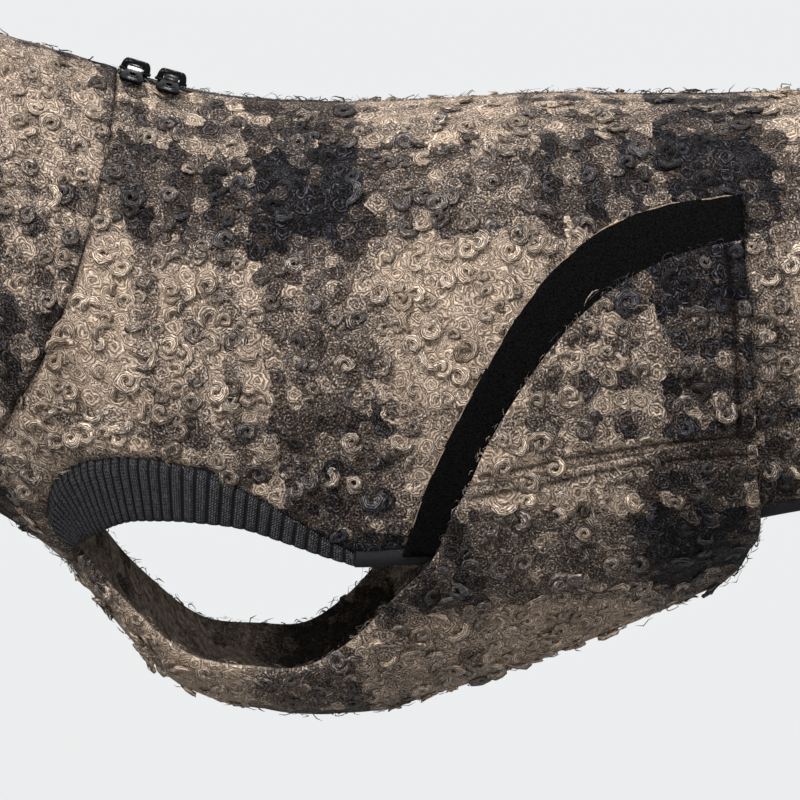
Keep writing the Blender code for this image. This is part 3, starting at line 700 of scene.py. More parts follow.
WANDER = 0.009  # how far a stripe's edge wanders, in metres
BLOTCH, STRAY, LIGHT_STRAY = 0.1, 0.07, 0.38  # how far patches and single locks differ in tone
PICKED, FIBRE = 0.15, 0.32  # share of each lock's own yarn, and how far single hairs differ
# the wool between its strands, in dark and in light yarn: painted shade between the strands
DARK_GAP_SHADE, LIGHT_GAP_SHADE = colour(2, 2, 4), colour(84, 68, 55)
YARNS = (
    (0.0, colour(90, 91, 102)),
    (0.25, colour(112, 109, 112)),
    (0.5, colour(144, 135, 129)),
    (0.75, colour(230, 209, 191)),
    (1.0, colour(255, 230, 205)),
)


def plaid_tone(flat, pick):
    """Share of light wool at a place on the cloth: each lock shows the warp's or the weft's yarn."""
    moved = flat + wander_at(flat, 90.0, 4.0, (WANDER, WANDER, 0.0))
    tones = [ramp((part / (REPEAT * MM)).math("FRACT"), stripe_stops()) for part in moved.parts()[:2]]
    picked = mixed(mapped(pick, 0.3, 0.7), *tones)
    blotch = mapped(noise_at(flat, 75.0), 0.3, 0.7, -BLOTCH, BLOTCH)
    stray = mapped(another(pick, 91.0), 0.7, 1.0, -STRAY, LIGHT_STRAY)  # some locks are much lighter
    return mixed(PICKED, mixed(0.5, *tones), picked) + (blotch + stray)


def fibre_tone(tone, place, scale):
    """The tone of a single hair: warp and weft yarns mix in the pile."""
    return tone + mapped(noise_at(place, scale), 0.33, 0.67, -FIBRE, FIBRE)


def fibres(place, scale, bands, shift):
    """Fine curly hairs: contour lines of a noise, from 0 between them to 1 on their crests."""
    field = noise_at(place + shift, scale, 1.0, 0.4)
    return mapped((field * (math.tau * bands)).math("SINE"), -0.4, 1.0)


def wool_colour(tone, shine):
    """Colour of the wool: tone picks the yarn, shine goes from the gaps between strands, darkened as
    painted shade, to their crests.
    """
    shine = shine.math("POWER", mapped(tone, 0.0, 0.6, 3.5, 0.95))
    return mixed(shine, mixed(tone, DARK_GAP_SHADE, LIGHT_GAP_SHADE), ramp(tone, YARNS))


FLAT_CURLS = ((165.0, 0.85, (0.41, 0.17, 0.0)), (120.0, 0.75, (0.13, 0.59, 0.0)))  # scale, share, place
CURL_SIZES = (0.7 / MM, 1.15 / MM)  # one over it, from metres to a curl's own millimetres
COIL_PITCH, COIL_SHARE = 1.1, 0.6  # of a curl's turns, beside its streaks
RING_MIDDLE, RING_HALF = 2.1, 2.0  # where a curl is high
CURL_EDGE = (3.4, 4.2)


def flat_curls(flat, scale, share, shift):
    """A layer of curls in the cloth: where they lie, their strands, height, place and random number."""
    moved = flat + shift
    bent = moved + wander_at(moved, 300.0, 1.0, (0.004, 0.004, 0.0))
    middle, random = cells_at(bent, scale)
    local = bent - middle
    far = local.math("LENGTH") * mapped(random[1], 0.0, 1.0, *CURL_SIZES)
    parts = local.parts()
    turn = parts[1].math("ARCTAN2", parts[0]) / math.tau
    wave = ((far / COIL_PITCH + turn) * math.tau).math("SINE")
    drawn = local.math("NORMALIZE") * (1.5, 1.5, 0.0) + combined(0.0, 0.0, far * 2.9 + random[0] * 60.0)
    streak = mapped(noise_at(drawn, 1.0, 3.0, 0.6), 0.25, 0.75, -1.0, 1.0)
    band = (far - RING_MIDDLE) / RING_HALF
    height = mapped(band * band, 0.0, 1.0, 1.0, 0.0)
    mask = mapped(far, *CURL_EDGE, 1.0, 0.0) * random[2].math("LESS_THAN", share)
    strands = mapped(wave * COIL_SHARE + streak, -0.6, 0.9, 0.05, 1.0)
    return mask, strands, height, middle - shift, random[0]


def boucle(name):
    """The cloth under its curls, with its dark felted reverse, painted paler to stand in for the light
    bounced onto the inside.
    """
    made, tree, shader = new_material(name)
    flat = attribute(tree, "cloth", "Vector")
    strands = fibres(flat, 360.0, 9.0, (0.3, 0.1, 0.0)) + fibres(flat, 760.0, 7.0, (0.7, 0.9, 0.0))
    strands = mapped(strands, 0.15, 1.45, 0.05, 1.0)
    place, random = flat, cells_at(flat, 210.0)[1][0]
    heights = []
    for curls in FLAT_CURLS:
        mask, streaks, rise, spot, number = flat_curls(flat, *curls)
        # darker where a curl lies low, in its middle and at its rim: painted shade
        shade = streaks * mapped(rise, 0.0, 1.0, 0.3, 1.15)
        shade = shade * mapped(another(number, 53.0), 0.0, 1.0, 0.72, 1.2)
        strands = mixed(mask, strands, shade)
        place = mixed(mask, place, spot)
        random = mixed(mask, random, number)
        heights.append(mask * rise)
    tone = fibre_tone(plaid_tone(place, random), flat, 1300.0)
    patch = noise_at(flat, 330.0, 3.0, 0.6)
    stitch_and_shade = attribute(tree, "stitch_and_shade")
    shine = strands * mapped(patch, 0.3, 0.7, 0.55, 1.05)
    shine = shine * mapped(noise_at(flat, 1900.0), 0.3, 0.7, 0.7, 1.25)
    # darker along the neck seam and the stitched troughs: painted shade in their valleys
    shine = shine * mapped(stitch_and_shade, 0.25, 0.9, 1.0, 0.45)
    front = mixed(mapped(stitch_and_shade, 0.25, 0.9, 0.0, 0.6), wool_colour(tone, shine), DARK_GAP_SHADE)
    # the felted reverse, made paler than its own colour as painted light for the dim inside
    felt_and_fill_light = ramp(noise_at(flat, 420.0, 5.0, 0.7), ((0.3, colour(60, 54, 49)), (0.7, colour(222, 202, 184))))
    back = mixed(mapped(tone, 0.1, 0.8, 0.93, 0.1), felt_and_fill_light, colour(20, 19, 20))
    height = heights[0].math("MAXIMUM", heights[1]) + shine * 0.5 + patch * 0.4
    dress(shader, mixed(attribute(tree, "reverse"), front, back), height, 0.0011, 0.9, 0.92, 0.08, 0.02)
    return made


def curl_wool(name):
    """The standing locks, each a bundle of hairs in one yarn's colour.

    "hair" is the place in the bundle: across its section in x and y, and along it in z, in metres.
    """
    made, tree, shader = new_material(name)
    flat, lock = attribute(tree, "cloth", "Vector"), attribute(tree, "lock")
    across, _, down = attribute(tree, "hair", "Vector").parts()
    drawn = combined(across, lock, down * 300.0) * (1.0, 90.0, 1.0)
    tone = fibre_tone(plaid_tone(flat, lock), drawn, 4.0)
    turn = across * 2.1 + noise_at(drawn, 1.3) * 3.2
    streak = (turn * math.tau).math("SINE")
    shine = mapped(streak, -0.9, 0.7, 0.05, 1.0) * mapped(another(lock, 37.0), 0.0, 1.0, 0.45, 1.05)
    dress(shader, wool_colour(tone, shine), streak, 0.0003, 0.8, 0.5, 0.12, 0.02)
    return made


def plain_cloth(name, low, high, scale, roughness=0.85, bump_height=0.0003, sheen=0.1, glint=0.3):
    """A fine plain cloth, tape or knit, mottled between two colours."""
    made, tree, shader = new_material(name)
    fuzz = noise_at(object_place(tree), scale, 4.0, 0.65)
    shade = ramp(fuzz, ((0.3, colour(*low)), (0.7, colour(*high))))
    dress(shader, shade, fuzz, bump_height, 0.8, roughness, glint, sheen)
    return made


def zip_metal(name, low, high, specular, rough, smooth_at, metallic=0.0):
    """Metal worn a little, between two colours, with its roughness from worn to smooth."""
    made, tree, shader = new_material(name)
    wear = noise_at(object_place(tree), 600.0, 3.0)
    tree.links.new(mapped(wear, 0.3, 0.7, smooth_at, rough).socket, shader.inputs["Roughness"])
    shade = ramp(wear, ((0.3, colour(*low)), (0.8, colour(*high))))
    tree.links.new(shade.socket, shader.inputs["Base Color"])
    shader.inputs["Specular IOR Level"].default_value = specular
    shader.inputs["Metallic"].default_value = metallic
    return made


def rib_knit(name):
    """Rib knit: fine V stitches up each rib, with painted shade between the ribs. Its UV is (rib,
    millimetres down).
    """
    made, tree, shader = new_material(name)
    rib, down, _ = Value(node(tree, "ShaderNodeUVMap", uv_map="knit").outputs[0], True).parts()
    wale = (rib * (5 * math.tau)).math("SINE")
    course = (down * (math.tau / 1.05)).math("SINE")
    fuzz = mapped(noise_at(object_place(tree), 1300.0, 3.0), 0.3, 0.7, -0.7, 0.7)
    loops = mapped(wale * course + fuzz + wale * 0.5, -0.6, 1.4)
    groove = (rib.math("FRACT") - 0.5).math("ABSOLUTE")
    # the knit goes dark towards the groove between ribs: painted shade
    shade = loops * mapped(groove, 0.31, 0.42, 1.0, 0.0)
    shade = ramp(shade, ((0.0, colour(4, 4, 5)), (0.3, colour(26, 26, 29)), (1.0, colour(98, 97, 101))))
    dress(shader, shade, loops, 0.0003, 0.8, 0.85, 0.2)
    return made


FINISHES = {
    "boucle": boucle("boucle wool"),
    "curls": curl_wool("curled locks"),
    "rib_knit": rib_knit("rib knit"),
    "binding": plain_cloth("edge binding", (20, 19, 22), (34, 33, 36), 1400.0, 0.8, 0.0001, 0.0, 0.15),
    "loop_tape": plain_cloth("loop tape", (1, 1, 1), (22, 22, 23), 1500.0, 1.0, 0.0008, 0.0, 0.0),
    "thread": plain_cloth("tan thread", (52, 44, 38), (170, 146, 126), 500.0),
    "teeth": plain_cloth("zip teeth", (14, 14, 15), (28, 28, 30), 900.0, 0.35, 0.00005, 0.0),
    "zip_tape": plain_cloth("zip tape", (14, 14, 15), (30, 30, 32), 1500.0),
    "metal": zip_metal("black zip metal", (4, 4, 5), (13, 13, 14), 0.08, 0.28, 0.16),
    # pale metal that paints the highlight on the front pull's neck plate
    "painted_highlight": zip_metal("zip metal painted highlight", (228, 230, 232), (250, 250, 250), 0.5, 0.3, 0.25, 1.0),
}


# ---- curls grown over the cloth


# A lock's turns, start and end radius, rise, half width and height, in millimetres
LOCKS = (
    (1.1, 3.1, 1.0, 1.0, 1.5, 1.4),
    (0.75, 3.3, 1.5, 0.8, 1.6, 1.5),
    (1.35, 3.6, 0.9, 1.2, 1.4, 1.3),
    (0.9, 2.5, 1.1, 0.4, 1.4, 1.3),
    (0.5, 4.0, 3.0, 0.6, 1.5, 1.4),
)
HAIRS = (
    (0.55, 3.0, 2.0, 1.8, 0.2, 0.3),
    (0.9, 1.8, 2.4, 1.2, 0.18, 0.28),
    (0.35, 4.2, 3.0, 1.6, 0.18, 0.28),
)
FRINGE = (
    (0.5, 1.7, 1.0, 1.0, 0.2, 0.26),
    (0.28, 2.8, 2.0, 1.3, 0.18, 0.24),
    (0.2, 3.8, 2.8, 0.8, 0.16, 0.22),
)
PILES = (  # name, kinds of lock, steps of one, the attribute that says where, and the spacing in metres
    ("locks", LOCKS, 11, "pile", 0.0049),
    ("hairs", HAIRS, 9, "nap", 0.0042),
    ("fringe", FRINGE, 8, "rim", 0.0014),
)
PILE_INPUTS = (  # name, kind, and what it is until a modifier sets it
    ("Cloth", "Geometry", None),
    ("Spacing", "Float", 0.005),
    ("Size", "Float", 1.0),
    ("Seed", "Int", 1),
    ("Finish", "Material", None),
)
CROWDING, DENSEST = 1.2, 150000.0  # points tried on a spacing's square, and at least on a square metre
LEAN, LOCK_SIZES, FLATTENED = 0.35, (0.75, 1.4), 0.8
DRIFT_SCALE, DRIFT = 260.0, 0.0028  # how the grown pile wanders, in metres


def pile_tree(name, rows, steps, where):
    """Geometry nodes that stand curled locks or hairs on the cloth wherever an attribute says."""
    tree = bpy.data.node_groups.new(name, "GeometryNodeTree")
    for label, kind, usual in PILE_INPUTS:
        socket = tree.interface.new_socket(label, in_out="INPUT", socket_type="NodeSocket" + kind)
        if usual is not None:
            socket.default_value = usual
    tree.interface.new_socket("Curls", in_out="OUTPUT", socket_type="NodeSocketGeometry")
    given = tree.nodes.new("NodeGroupInput").outputs

    def made(kind, inputs=None, **settings):
        return node(tree, "GeometryNode" + kind, inputs, **settings).outputs

    def random(slot, low, high, seed):
        """A random vector, number or whole number, in the node's slots 0, 1 and 2."""
        inputs = {2 * slot: low, 2 * slot + 1: high, "Seed": seed}
        kind = ("FLOAT_VECTOR", "FLOAT", "INT")[slot]
        return node(tree, "FunctionNodeRandomValue", inputs, data_type=kind).outputs[slot]

    def stored(shape, label, value, kind="FLOAT", domain="POINT"):
        inputs = {"Geometry": shape, "Name": label, "Value": value}
        return made("StoreNamedAttribute", inputs, data_type=kind, domain=domain)[0]

    def read(label, kind="FLOAT"):
        return Value(made("InputNamedAttribute", {"Name": label}, data_type=kind)[0], kind != "FLOAT")

    square = Value(given["Spacing"]) * given["Spacing"]
    most = Value(node(tree, "ShaderNodeMath", {0: CROWDING, 1: square}, operation="DIVIDE").outputs[0])
    scatter = {
        "Mesh": given["Cloth"],
        "Distance Min": given["Spacing"],
        "Density Max": most.math("MAXIMUM", DENSEST),
        "Density Factor": read(where),
        "Seed": given["Seed"],
    }
    points = made("DistributePointsOnFaces", scatter, distribute_method="POISSON")
    spline = made("SplineParameter")
    down = Value(spline["Factor"])
    taper = (down * (down * -1.0 + 1.0)).math("SQRT") * 1.5 + 0.25
    position = Value(made("InputPosition")[0], True)
    shapes = []
    for turns, start, end, rise, half_width, height in rows:
        coil = {"Start Radius": start * MM, "End Radius": end * MM, "Height": rise * MM}
        spiral = made("CurveSpiral", {"Resolution": steps, "Rotations": turns, **coil})[0]
        upright = made("SetCurveNormal", {0: stored(spiral, "down", spline["Length"])}, mode="Z_UP")[0]
        sides = {"Bottom Width": 2.0, "Top Width": 1.0, "Offset": 0.0, "Height": height / half_width}
        section = made("CurvePrimitiveQuadrilateral", sides, mode="TRAPEZOID")[0]
        section = stored(section, "cross", position, "FLOAT_VECTOR")
        strand = {"Curve": upright, "Profile Curve": section, "Scale": taper * (half_width * MM)}
        shapes.append(made("CurveToMesh", {**strand, "Fill Caps": True})[0])
    kinds = node(tree, "GeometryNodeGeometryToInstance")
    for shape in reversed(shapes):
        tree.links.new(shape, kinds.inputs[0])
    spin = random(0, (-LEAN, -LEAN, 0.0), (LEAN, LEAN, math.tau), 3)
    turn = {"Rotation": points["Rotation"], "Rotate By": spin}
    size = Value(random(1, *LOCK_SIZES, 7)) * given["Size"]
    stand = {
        "Points": points["Points"],
        "Instance": kinds.outputs[0],
        "Pick Instance": True,
        "Instance Index": random(2, 0, len(rows) - 1, 5),
        "Rotation": node(tree, "FunctionNodeRotateRotation", turn, rotation_space="LOCAL").outputs[0],
        "Scale": combined(size, size, size * FLATTENED),
    }
    grown = made("InstanceOnPoints", stand)[0]
    grown = stored(grown, "lock", random(1, 0.0, 1.0, 11), domain="INSTANCE")
    grown = made("RealizeInstances", {0: grown})[0]
    hair = read("cross", "FLOAT_VECTOR") + combined(0.0, 0.0, read("down"))
    grown = stored(grown, "hair", hair, "FLOAT_VECTOR")
    offset = wander_at(position, DRIFT_SCALE, 1.0, (DRIFT, DRIFT, DRIFT))
    grown = made("SetPosition", {"Geometry": grown, "Offset": offset})[0]
    grown = made("SetShadeSmooth", {0: grown})[0]
    grown = made("SetMaterial", {"Geometry": grown, "Material": given["Finish"]})[0]
    node(tree, "NodeGroupOutput", {0: grown})
    return tree


PILE_TREES = {name: (pile_tree(name, *row), spacing) for name, *row, spacing in PILES}


def grown_from(cloth, name, tree, values):
    """A plain mesh of what a tree grows on a piece of cloth, with its inputs set by their identifiers."""
    modifier = cloth.modifiers.new("grown", "NODES")
    modifier.node_group = tree
    for label, value in values.items():
        modifier[tree.interface.items_tree[label].identifier] = value
    graph = bpy.context.evaluated_depsgraph_get()
    mesh = bpy.data.meshes.new_from_object(cloth.evaluated_get(graph), depsgraph=graph)
    cloth.modifiers.remove(modifier)
    mesh.name = name
    return linked(name, mesh)


# ---- pieces of cloth


LUMP_SEED = 3.7
NEAR_STEP = 0.5  # how near a line a point of the chart counts as on it, in millimetres
NECK_HOLD_AND_SHADE, NECK_WIDTH = 0.8, 1.5  # strength of the painted shade along the neck seam, which also keeps loose hairs off it, and how far beside it
STITCHED_DOWN, PRESSED, THINNEST = 0.9, 0.8, 0.9  # the troughs' share, how far a tab presses, least height
CENTRE_BARE, CENTRE_THIN = 5, 28  # no locks so near the outline's top and bottom, and few after that
LOCK_EDGE, HAIR_EDGE, DENSE_EDGE = 2.5, 4.0, 5  # how far from a piece's edge its locks and hairs change
EDGE_HAIRS, BAND_HAIRS, BAND_FADE = 0.8, 0.9, 25
SLOT_ROLL = -0.3


def relief(chart):
    """Soft lumps of the pile, in millimetres, at every chart point."""
    return np.array([noise.noise(Vector((a / LUMP, b / LUMP, LUMP_SEED))) for a, b in chart]) * LUMP_HEIGHT


def troughs(stitches, points):
    """How deep the stitching pulls the pile, at every chart point."""
    deep = np.zeros(len(points))
    for line in stitches:
        deep = np.maximum(deep, TROUGH_DEPTH * np.exp(-((distance_to(line, points) / TROUGH_WIDTH) ** 2)))
    return deep


def lift(lines, pieces, points):
    """Share of the full step up onto the body, at each point of the chart."""
    away = distance_to(lines["binding_edge"], points)
    on_body = inside(pieces["body"], points) | inside(pieces["binding"], points) | (away < NEAR_STEP)
    on_body &= distance_to(lines["chest_seam"], points) > NEAR_STEP
    t = np.clip(np.where(on_body, 0.0, away) / RAMP, 0.0, 1.0)
    return 1 - t * t * (3 - 2 * t)


WRAPS = {"collar": "spine", "belly_panel": "belly"}
FLAPS = ("belly_panel", "wing")


def tab_places(chart):
    """Which points of the chart the pull tabs lie on."""
    arc = chart[:, 1] / GIRTH * half_girth(chart[:, 0])
    found = np.zeros(len(chart), bool)
    for distance in (SLIDER_FRONT_AT, SLIDER_REAR_AT):
        found |= (np.abs(chart[:, 0] - spine_along(distance)) < TAB_SPAN[0]) & (arc < TAB_SPAN[1])
    return found


def edge_distance(name, outline, chart, used):
    """Distance of a piece's points to its edge, without the centre line of a piece made on both sides."""
    border = np.vstack((outline, outline[:1]))
    if name in WRAPS:
        border = border[(border[:, 1] > 0.01) & (border[:, 1] < GIRTH - 0.01)]
    away = np.full(len(chart), np.inf)
    away[used] = distance_to(border, chart[used])
    return away


def cloth_pieces():
    """Makes every piece of wool and the loop tapes, with what grows on them. Returns the cut lines."""
    lines = cut_lines()
    stitches = [trace(rows) for rows in STITCHES]
    pieces = outlines(lines)
    chart, triangles = chart_mesh(lines, stitches, pieces)
    centres = chart[triangles].mean(axis=1)
    zeros = np.zeros(len(chart))
    stepped = lift(lines, pieces, chart) * OVER
    pulled = troughs(stitches, chart)
    lumps = relief(chart)
    to_centre = np.minimum(chart[:, 1], GIRTH - chart[:, 1]) / GIRTH * half_girth(chart[:, 0])
    sparse = np.clip((to_centre - CENTRE_BARE) / CENTRE_THIN, 0, 1)
    covered = np.any([inside(pieces[over], chart) for over in ("loop_tape", *FLAPS)], axis=0)
    for name, outline in pieces.items():
        if name == "binding":
            continue
        faces = triangles[inside(outline, centres)]
        flap = name in FLAPS
        if name in PANELS:
            away = edge_distance(name, outline, chart, np.unique(faces))
            rolled = EDGE_DROP * np.clip(1 - away / EDGE_ROLL, 0, 1) ** 2
            under_tabs = np.zeros(len(chart), bool)
            if name == "body":
                closed = (distance_to(lines["slot"], chart) < EDGE_ROLL) & (chart[:, 0] > spine_along(30.0))
                rolled = np.where(closed, SLOT_ROLL, rolled)
                under_tabs = tab_places(chart)
            base = stepped if flap else zeros
            raised = base + BACKING + lumps - rolled
            if flap:
                # how deep the trough is; the wool is also darkened there as painted shade
                stitch_and_shade = pulled / TROUGH_DEPTH
                raised = raised - pulled * STITCHED_DOWN
                pile = np.clip(1 - stitch_and_shade, 0, 1)
            else:
                # the neck seam's valley: painted shade in the wool's colour, and no loose hairs
                stitch_and_shade = NECK_HOLD_AND_SHADE * np.exp(-((distance_to(lines["neck_seam"], chart) / NECK_WIDTH) ** 2))
                raised = np.where(under_tabs, raised - PRESSED, raised)
                pile = np.where(under_tabs | (covered & (name == "body")), 0.0, 1.0)
            raised = np.maximum(raised, base + THINNEST)
            places = flat_cloth(chart, name, WRAPS.get(name))
            pile = pile * np.maximum(0.3 + 0.7 * light_share(places(NEAR)), 1 - away / DENSE_EDGE)
            pile = np.where(away < LOCK_EDGE, 0.0, pile) * sparse
            nap = np.where(away < HAIR_EDGE, EDGE_HAIRS, NAP)
            nap = np.where((stitch_and_shade > 0.3) | under_tabs, 0.0, nap)
            if name == "body":
                nap = np.where(covered & (away >= HAIR_EDGE), 0.0, nap)
            if name == "belly_panel":
                near_band = 1.6 - distance_to(lines["band_edge"], chart) / BAND_FADE
                nap = np.maximum(nap, BAND_HAIRS * np.clip(near_band, 0, 1))
            rim = np.where(away < NEAR_STEP, 1.0, 0.0)
            grown_at = {"pile": pile, "nap": nap, "rim": rim, "stitch_and_shade": stitch_and_shade}
            finish, slot = FINISHES["boucle"], "boucle_wool"
        else:
            grown_at = dict.fromkeys(("pile", "nap", "rim", "stitch_and_shade"), zeros)
            base, raised = zeros + (WOOL + SEAM), zeros + (WOOL + SEAM + TAPE)
            places = flat_cloth(chart, "body", None)
            finish, slot = FINISHES[name], name
        halves = [(name + "_left", (NEAR,)), (name + "_right", (FAR,))]
        if name in WRAPS:
            halves = [(name, (NEAR, FAR))]
        for number, (piece_name, sides) in enumerate(halves):
            look = (base, raised), finish, sides, places, grown_at
            made = shell(piece_name + "_cloth", chart, faces, *look)
            ride(made, replaces=[piece_name])
            for kind, (tree, spacing) in PILE_TREES.items() if name in PANELS else ():
                values = {"Spacing": spacing, "Size": 1.0, "Seed": 10 + number, "Finish": FINISHES["curls"]}
                curls = grown_from(made, f"{piece_name}_{kind}", tree, values)
                ride(curls)
    return lines


def along_line(line, share):
    """Point at a share of a line's length on the chart."""
    reach = lengths_along(line)
    return np.array([np.interp(share * reach[-1], reach, line[:, axis]) for axis in (0, 1)])


def strip_mesh(name, side, columns, finish, uv_name):
    """A closed strip from columns of (along, share, low, high, uv) rows between its two long edges."""
    rows = len(columns[0])
    places = [row for column_rows in columns for row in column_rows]
    along, share, low, high = np.array([row[:4] for row in places]).T
    points = np.vstack([cloth_points(along, share, out) * (1, -side, 1) for out in (low, high)])
    uvs = [row[4] for row in places] * 2
    count = len(places)

    def at(i, row, level):
        return level * count + i * rows + row

    faces = []
    last = len(columns) - 1
    for i in range(last):
        for row in range(rows - 1):
            faces.append((at(i, row, 1), at(i, row + 1, 1), at(i + 1, row + 1, 1), at(i + 1, row, 1)))
            faces.append((at(i, row, 0), at(i + 1, row, 0), at(i + 1, row + 1, 0), at(i, row + 1, 0)))
        for row, turn in ((0, 1), (rows - 1, -1)):
            faces.append((at(i, row, 0), at(i, row, 1), at(i + 1, row, 1), at(i + 1, row, 0))[::turn])
    for row in range(rows - 1):
        faces.append((at(0, row, 0), at(0, row + 1, 0), at(0, row + 1, 1), at(0, row, 1)))
        faces.append((at(last, row, 0), at(last, row, 1), at(last, row + 1, 1), at(last, row + 1, 0)))
    if side == FAR:
        faces = [face[::-1] for face in faces]
    made = mesh_object(name, points, faces, [finish])
    drawn = [uvs[vertex] for face in faces for vertex in face]
    made.data.uv_layers.new(name=uv_name).data.foreach_set("uv", np.array(drawn).ravel())
    return made


# Share of the rib where each edge of the cuff begins to turn in, and how deep it turns
CUFF_FREE_ROLL, CUFF_SEWN_ROLL = (0.9, 0.5), (0.16, 2.0)
RIB_FLATTENED = 0.35


def cuff_columns(sewn, free):
    """Columns of the ribbed cuff; its UV is (rib, millimetres down the rib)."""
    fan = np.array(RIB_FAN)
    steps = [(rib, place, height) for rib in range(RIBS) for place, height in RIB_PROFILE]
    columns = []
    for rib, place, height in steps + [(RIBS, 0.0, 0.0)]:
        share = CUFF_RUN[0] + (rib + place) / RIBS * (CUFF_RUN[1] - CUFF_RUN[0])
        top, bottom = along_line(sewn, share), along_line(free, smooth(fan[:, 0], fan[:, 1], share))
        middle = (top + bottom) / 2
        width = np.linalg.norm(bottom - top) * half_girth(middle[0]) / GIRTH
        rows = []
        for row in range(CUFF_ROWS):
            down = -UNDER / width + row / (CUFF_ROWS - 1) * (1 + UNDER / width)
            along, b = top + (bottom - top) * down
            (free_from, free_deep), (sewn_to, sewn_deep) = CUFF_FREE_ROLL, CUFF_SEWN_ROLL
            turned_in = free_deep * max(0.0, down - free_from) / (1 - free_from)
            turned_in += sewn_deep * max(0.0, sewn_to - down) / sewn_to
            turned_in = min(turned_in, CUFF_WALL + RIB_HEIGHT * height)
            rib_height = RIB_HEIGHT * height * (1 - RIB_FLATTENED * turned_in)
            high = CUFF_INNER + CUFF_WALL + rib_height - turned_in
            rows.append((along, b / GIRTH, CUFF_INNER, high, (rib + place, down * width)))
        columns.append(rows)
    return columns


BINDING_STEP, BINDING_END = 3, 0.9996  # along the hem, and the share of it where the binding ends
BINDING_ROUND, BINDING_WALL = 2.5, 0.4
BINDING_FALL = (2.6, 1.3)  # how far its sewn and its free half round off


def binding_columns(hem, edge):
    """Columns of the rolled binding; its UV is in millimetres along and across."""
    columns = []
    length = lengths_along(hem)[-1]
    for share in np.linspace(0.0, BINDING_END, round(length / BINDING_STEP)):
        top, bottom = along_line(hem, share), along_line(edge, share)
        rows = []
        for row in range(BINDING_ROWS):
            down = row / (BINDING_ROWS - 1)
            roll = 1 - abs(2 * down - 1) ** BINDING_ROUND
            along, b = top + (bottom - top) * (down * (1 + UNDER / BINDING_WIDTH) - UNDER / BINDING_WIDTH)
            low = BINDING_INNER + BINDING_WALL * (1 - roll)
            high = max(BINDING_OUTER - BINDING_FALL[down > 0.5] * (1 - roll), low + BINDING_WALL)
            rows.append((along, b / GIRTH, low, high, (share * length, down * BINDING_WIDTH)))
        columns.append(rows)
    return columns


THREAD_SIDES, THREAD_LEVELS = (-0.1, 0.35), (-0.2, 0.3)


def thread_columns(line):
    """Columns of a thread that lies along a line on the loop tape, weaving a little."""
    columns = []
    low, high = (beside(line, distance) for distance in THREAD_SIDES)
    for k in range(len(line)):
        wave = 0.25 * math.sin(k * 1.9) + 0.2 * math.sin(k * 0.7)
        out = WOOL + SEAM + TAPE - 0.3 + 0.5 * math.sin(k * 0.9)
        levels = [out + level for level in THREAD_LEVELS]
        columns.append([(a, (b + wave) / GIRTH, *levels, (k, b)) for a, b in (low[k], high[k])])
    return columns


def trims(lines):
    """Ribbed cuffs, bindings and the loop tape's threads, both sides."""
    thread = thread_columns(lines["tape_front"][4:])
    cuff = cuff_columns(lines["leg_edge"], trace(CUFF_FREE_EDGE))
    binding = binding_columns(lines["hem"], lines["binding_edge"])
    for name, side in (("left", NEAR), ("right", FAR)):
        knit = strip_mesh(f"cuff_{name}_knit", side, cuff, FINISHES["rib_knit"], "knit")
        ride(knit, replaces=[f"cuff_{name}"])
        band = strip_mesh(f"binding_{name}_band", side, binding, FINISHES["binding"], "weave")
        ride(band, replaces=[f"binding_{name}"])
        tan = strip_mesh(f"tape_thread_{name}", side, thread, FINISHES["thread"], "weave")
        ride(tan)


def spine_frame(distance):
    """Frame on the spine's inner face: X along the spine towards the tail, Y across, Z outwards."""
    along = spine_along(distance)
    ends = read_grid(FORM, np.array((along - 1.0, along + 1.0)), np.zeros(2))
    x_axis = (ends[1] - ends[0]) / np.linalg.norm(ends[1] - ends[0])
    y_axis = np.array((0.0, 1.0, 0.0))
    z_axis = np.cross(x_axis, y_axis)
    made = Matrix(np.column_stack((x_axis, y_axis, z_axis)).tolist()).to_4x4()
    made.translation = Vector(read_grid(FORM, np.array(along), np.array(0.0)))
    return made


def tube_faces(first, rings, n):
    """Faces of a closed tube from rings of n points, the first point's number given."""
    faces = []
    for start in range(first, first + n * (rings - 1), n):
        for j in range(n):
            a, b = start + j, start + (j + 1) % n
            faces.append((a, b, b + n, a + n))
    end = first + n * (rings - 1)
    return faces + [tuple(range(first, first + n))[::-1], tuple(range(end, end + n))]


def swept(name, section, span, steps, finish):
    """A closed bar along the spine with a section in Y and Z."""
    points = []
    for place in np.linspace(*span, steps):
        at_place = spine_frame(place)
        points += [tuple(at_place @ Vector((0.0, y, z))) for y, z in section]
    return mesh_object(name, points, tube_faces(0, steps, len(section)), [finish])


TOOTH = ((-0.32, 0.0), (-0.2, 0.22), (0.2, 0.22), (0.32, 0.0), (0.2, -0.22), (-0.2, -0.22))  # its section
TOOTH_ARCH = ((-0.5, 1.05), (0.35, 1.85), (1.2, 2.1), (1.95, 1.35))  # across and up, over the middle
TOOTH_SCALE = (1.1, 1.6)


def zip_teeth(name, span, node_name):
    """Closed coil teeth: small rounded blocks that reach over the middle in turn."""
    points, faces = [], []
    for i in range(2 * int((span[1] - span[0]) / TOOTH_PITCH)):
        at_tooth = spine_frame(span[0] + (i + 0.5) * TOOTH_PITCH / 2)
        sign = 1 if i % 2 else -1
        made = tube_faces(len(points), len(TOOTH_ARCH), len(TOOTH))
        for y, z in TOOTH_ARCH:
            loop = [(x * TOOTH_SCALE[0], sign * y, z + up * TOOTH_SCALE[1]) for x, up in TOOTH]
            points += [tuple(at_tooth @ Vector(point)) for point in loop]
        faces += made if sign == -1 else [face[::-1] for face in made]
    teeth = mesh_object(name, points, faces, [FINISHES["teeth"]])
    ride(teeth, replaces=[node_name])


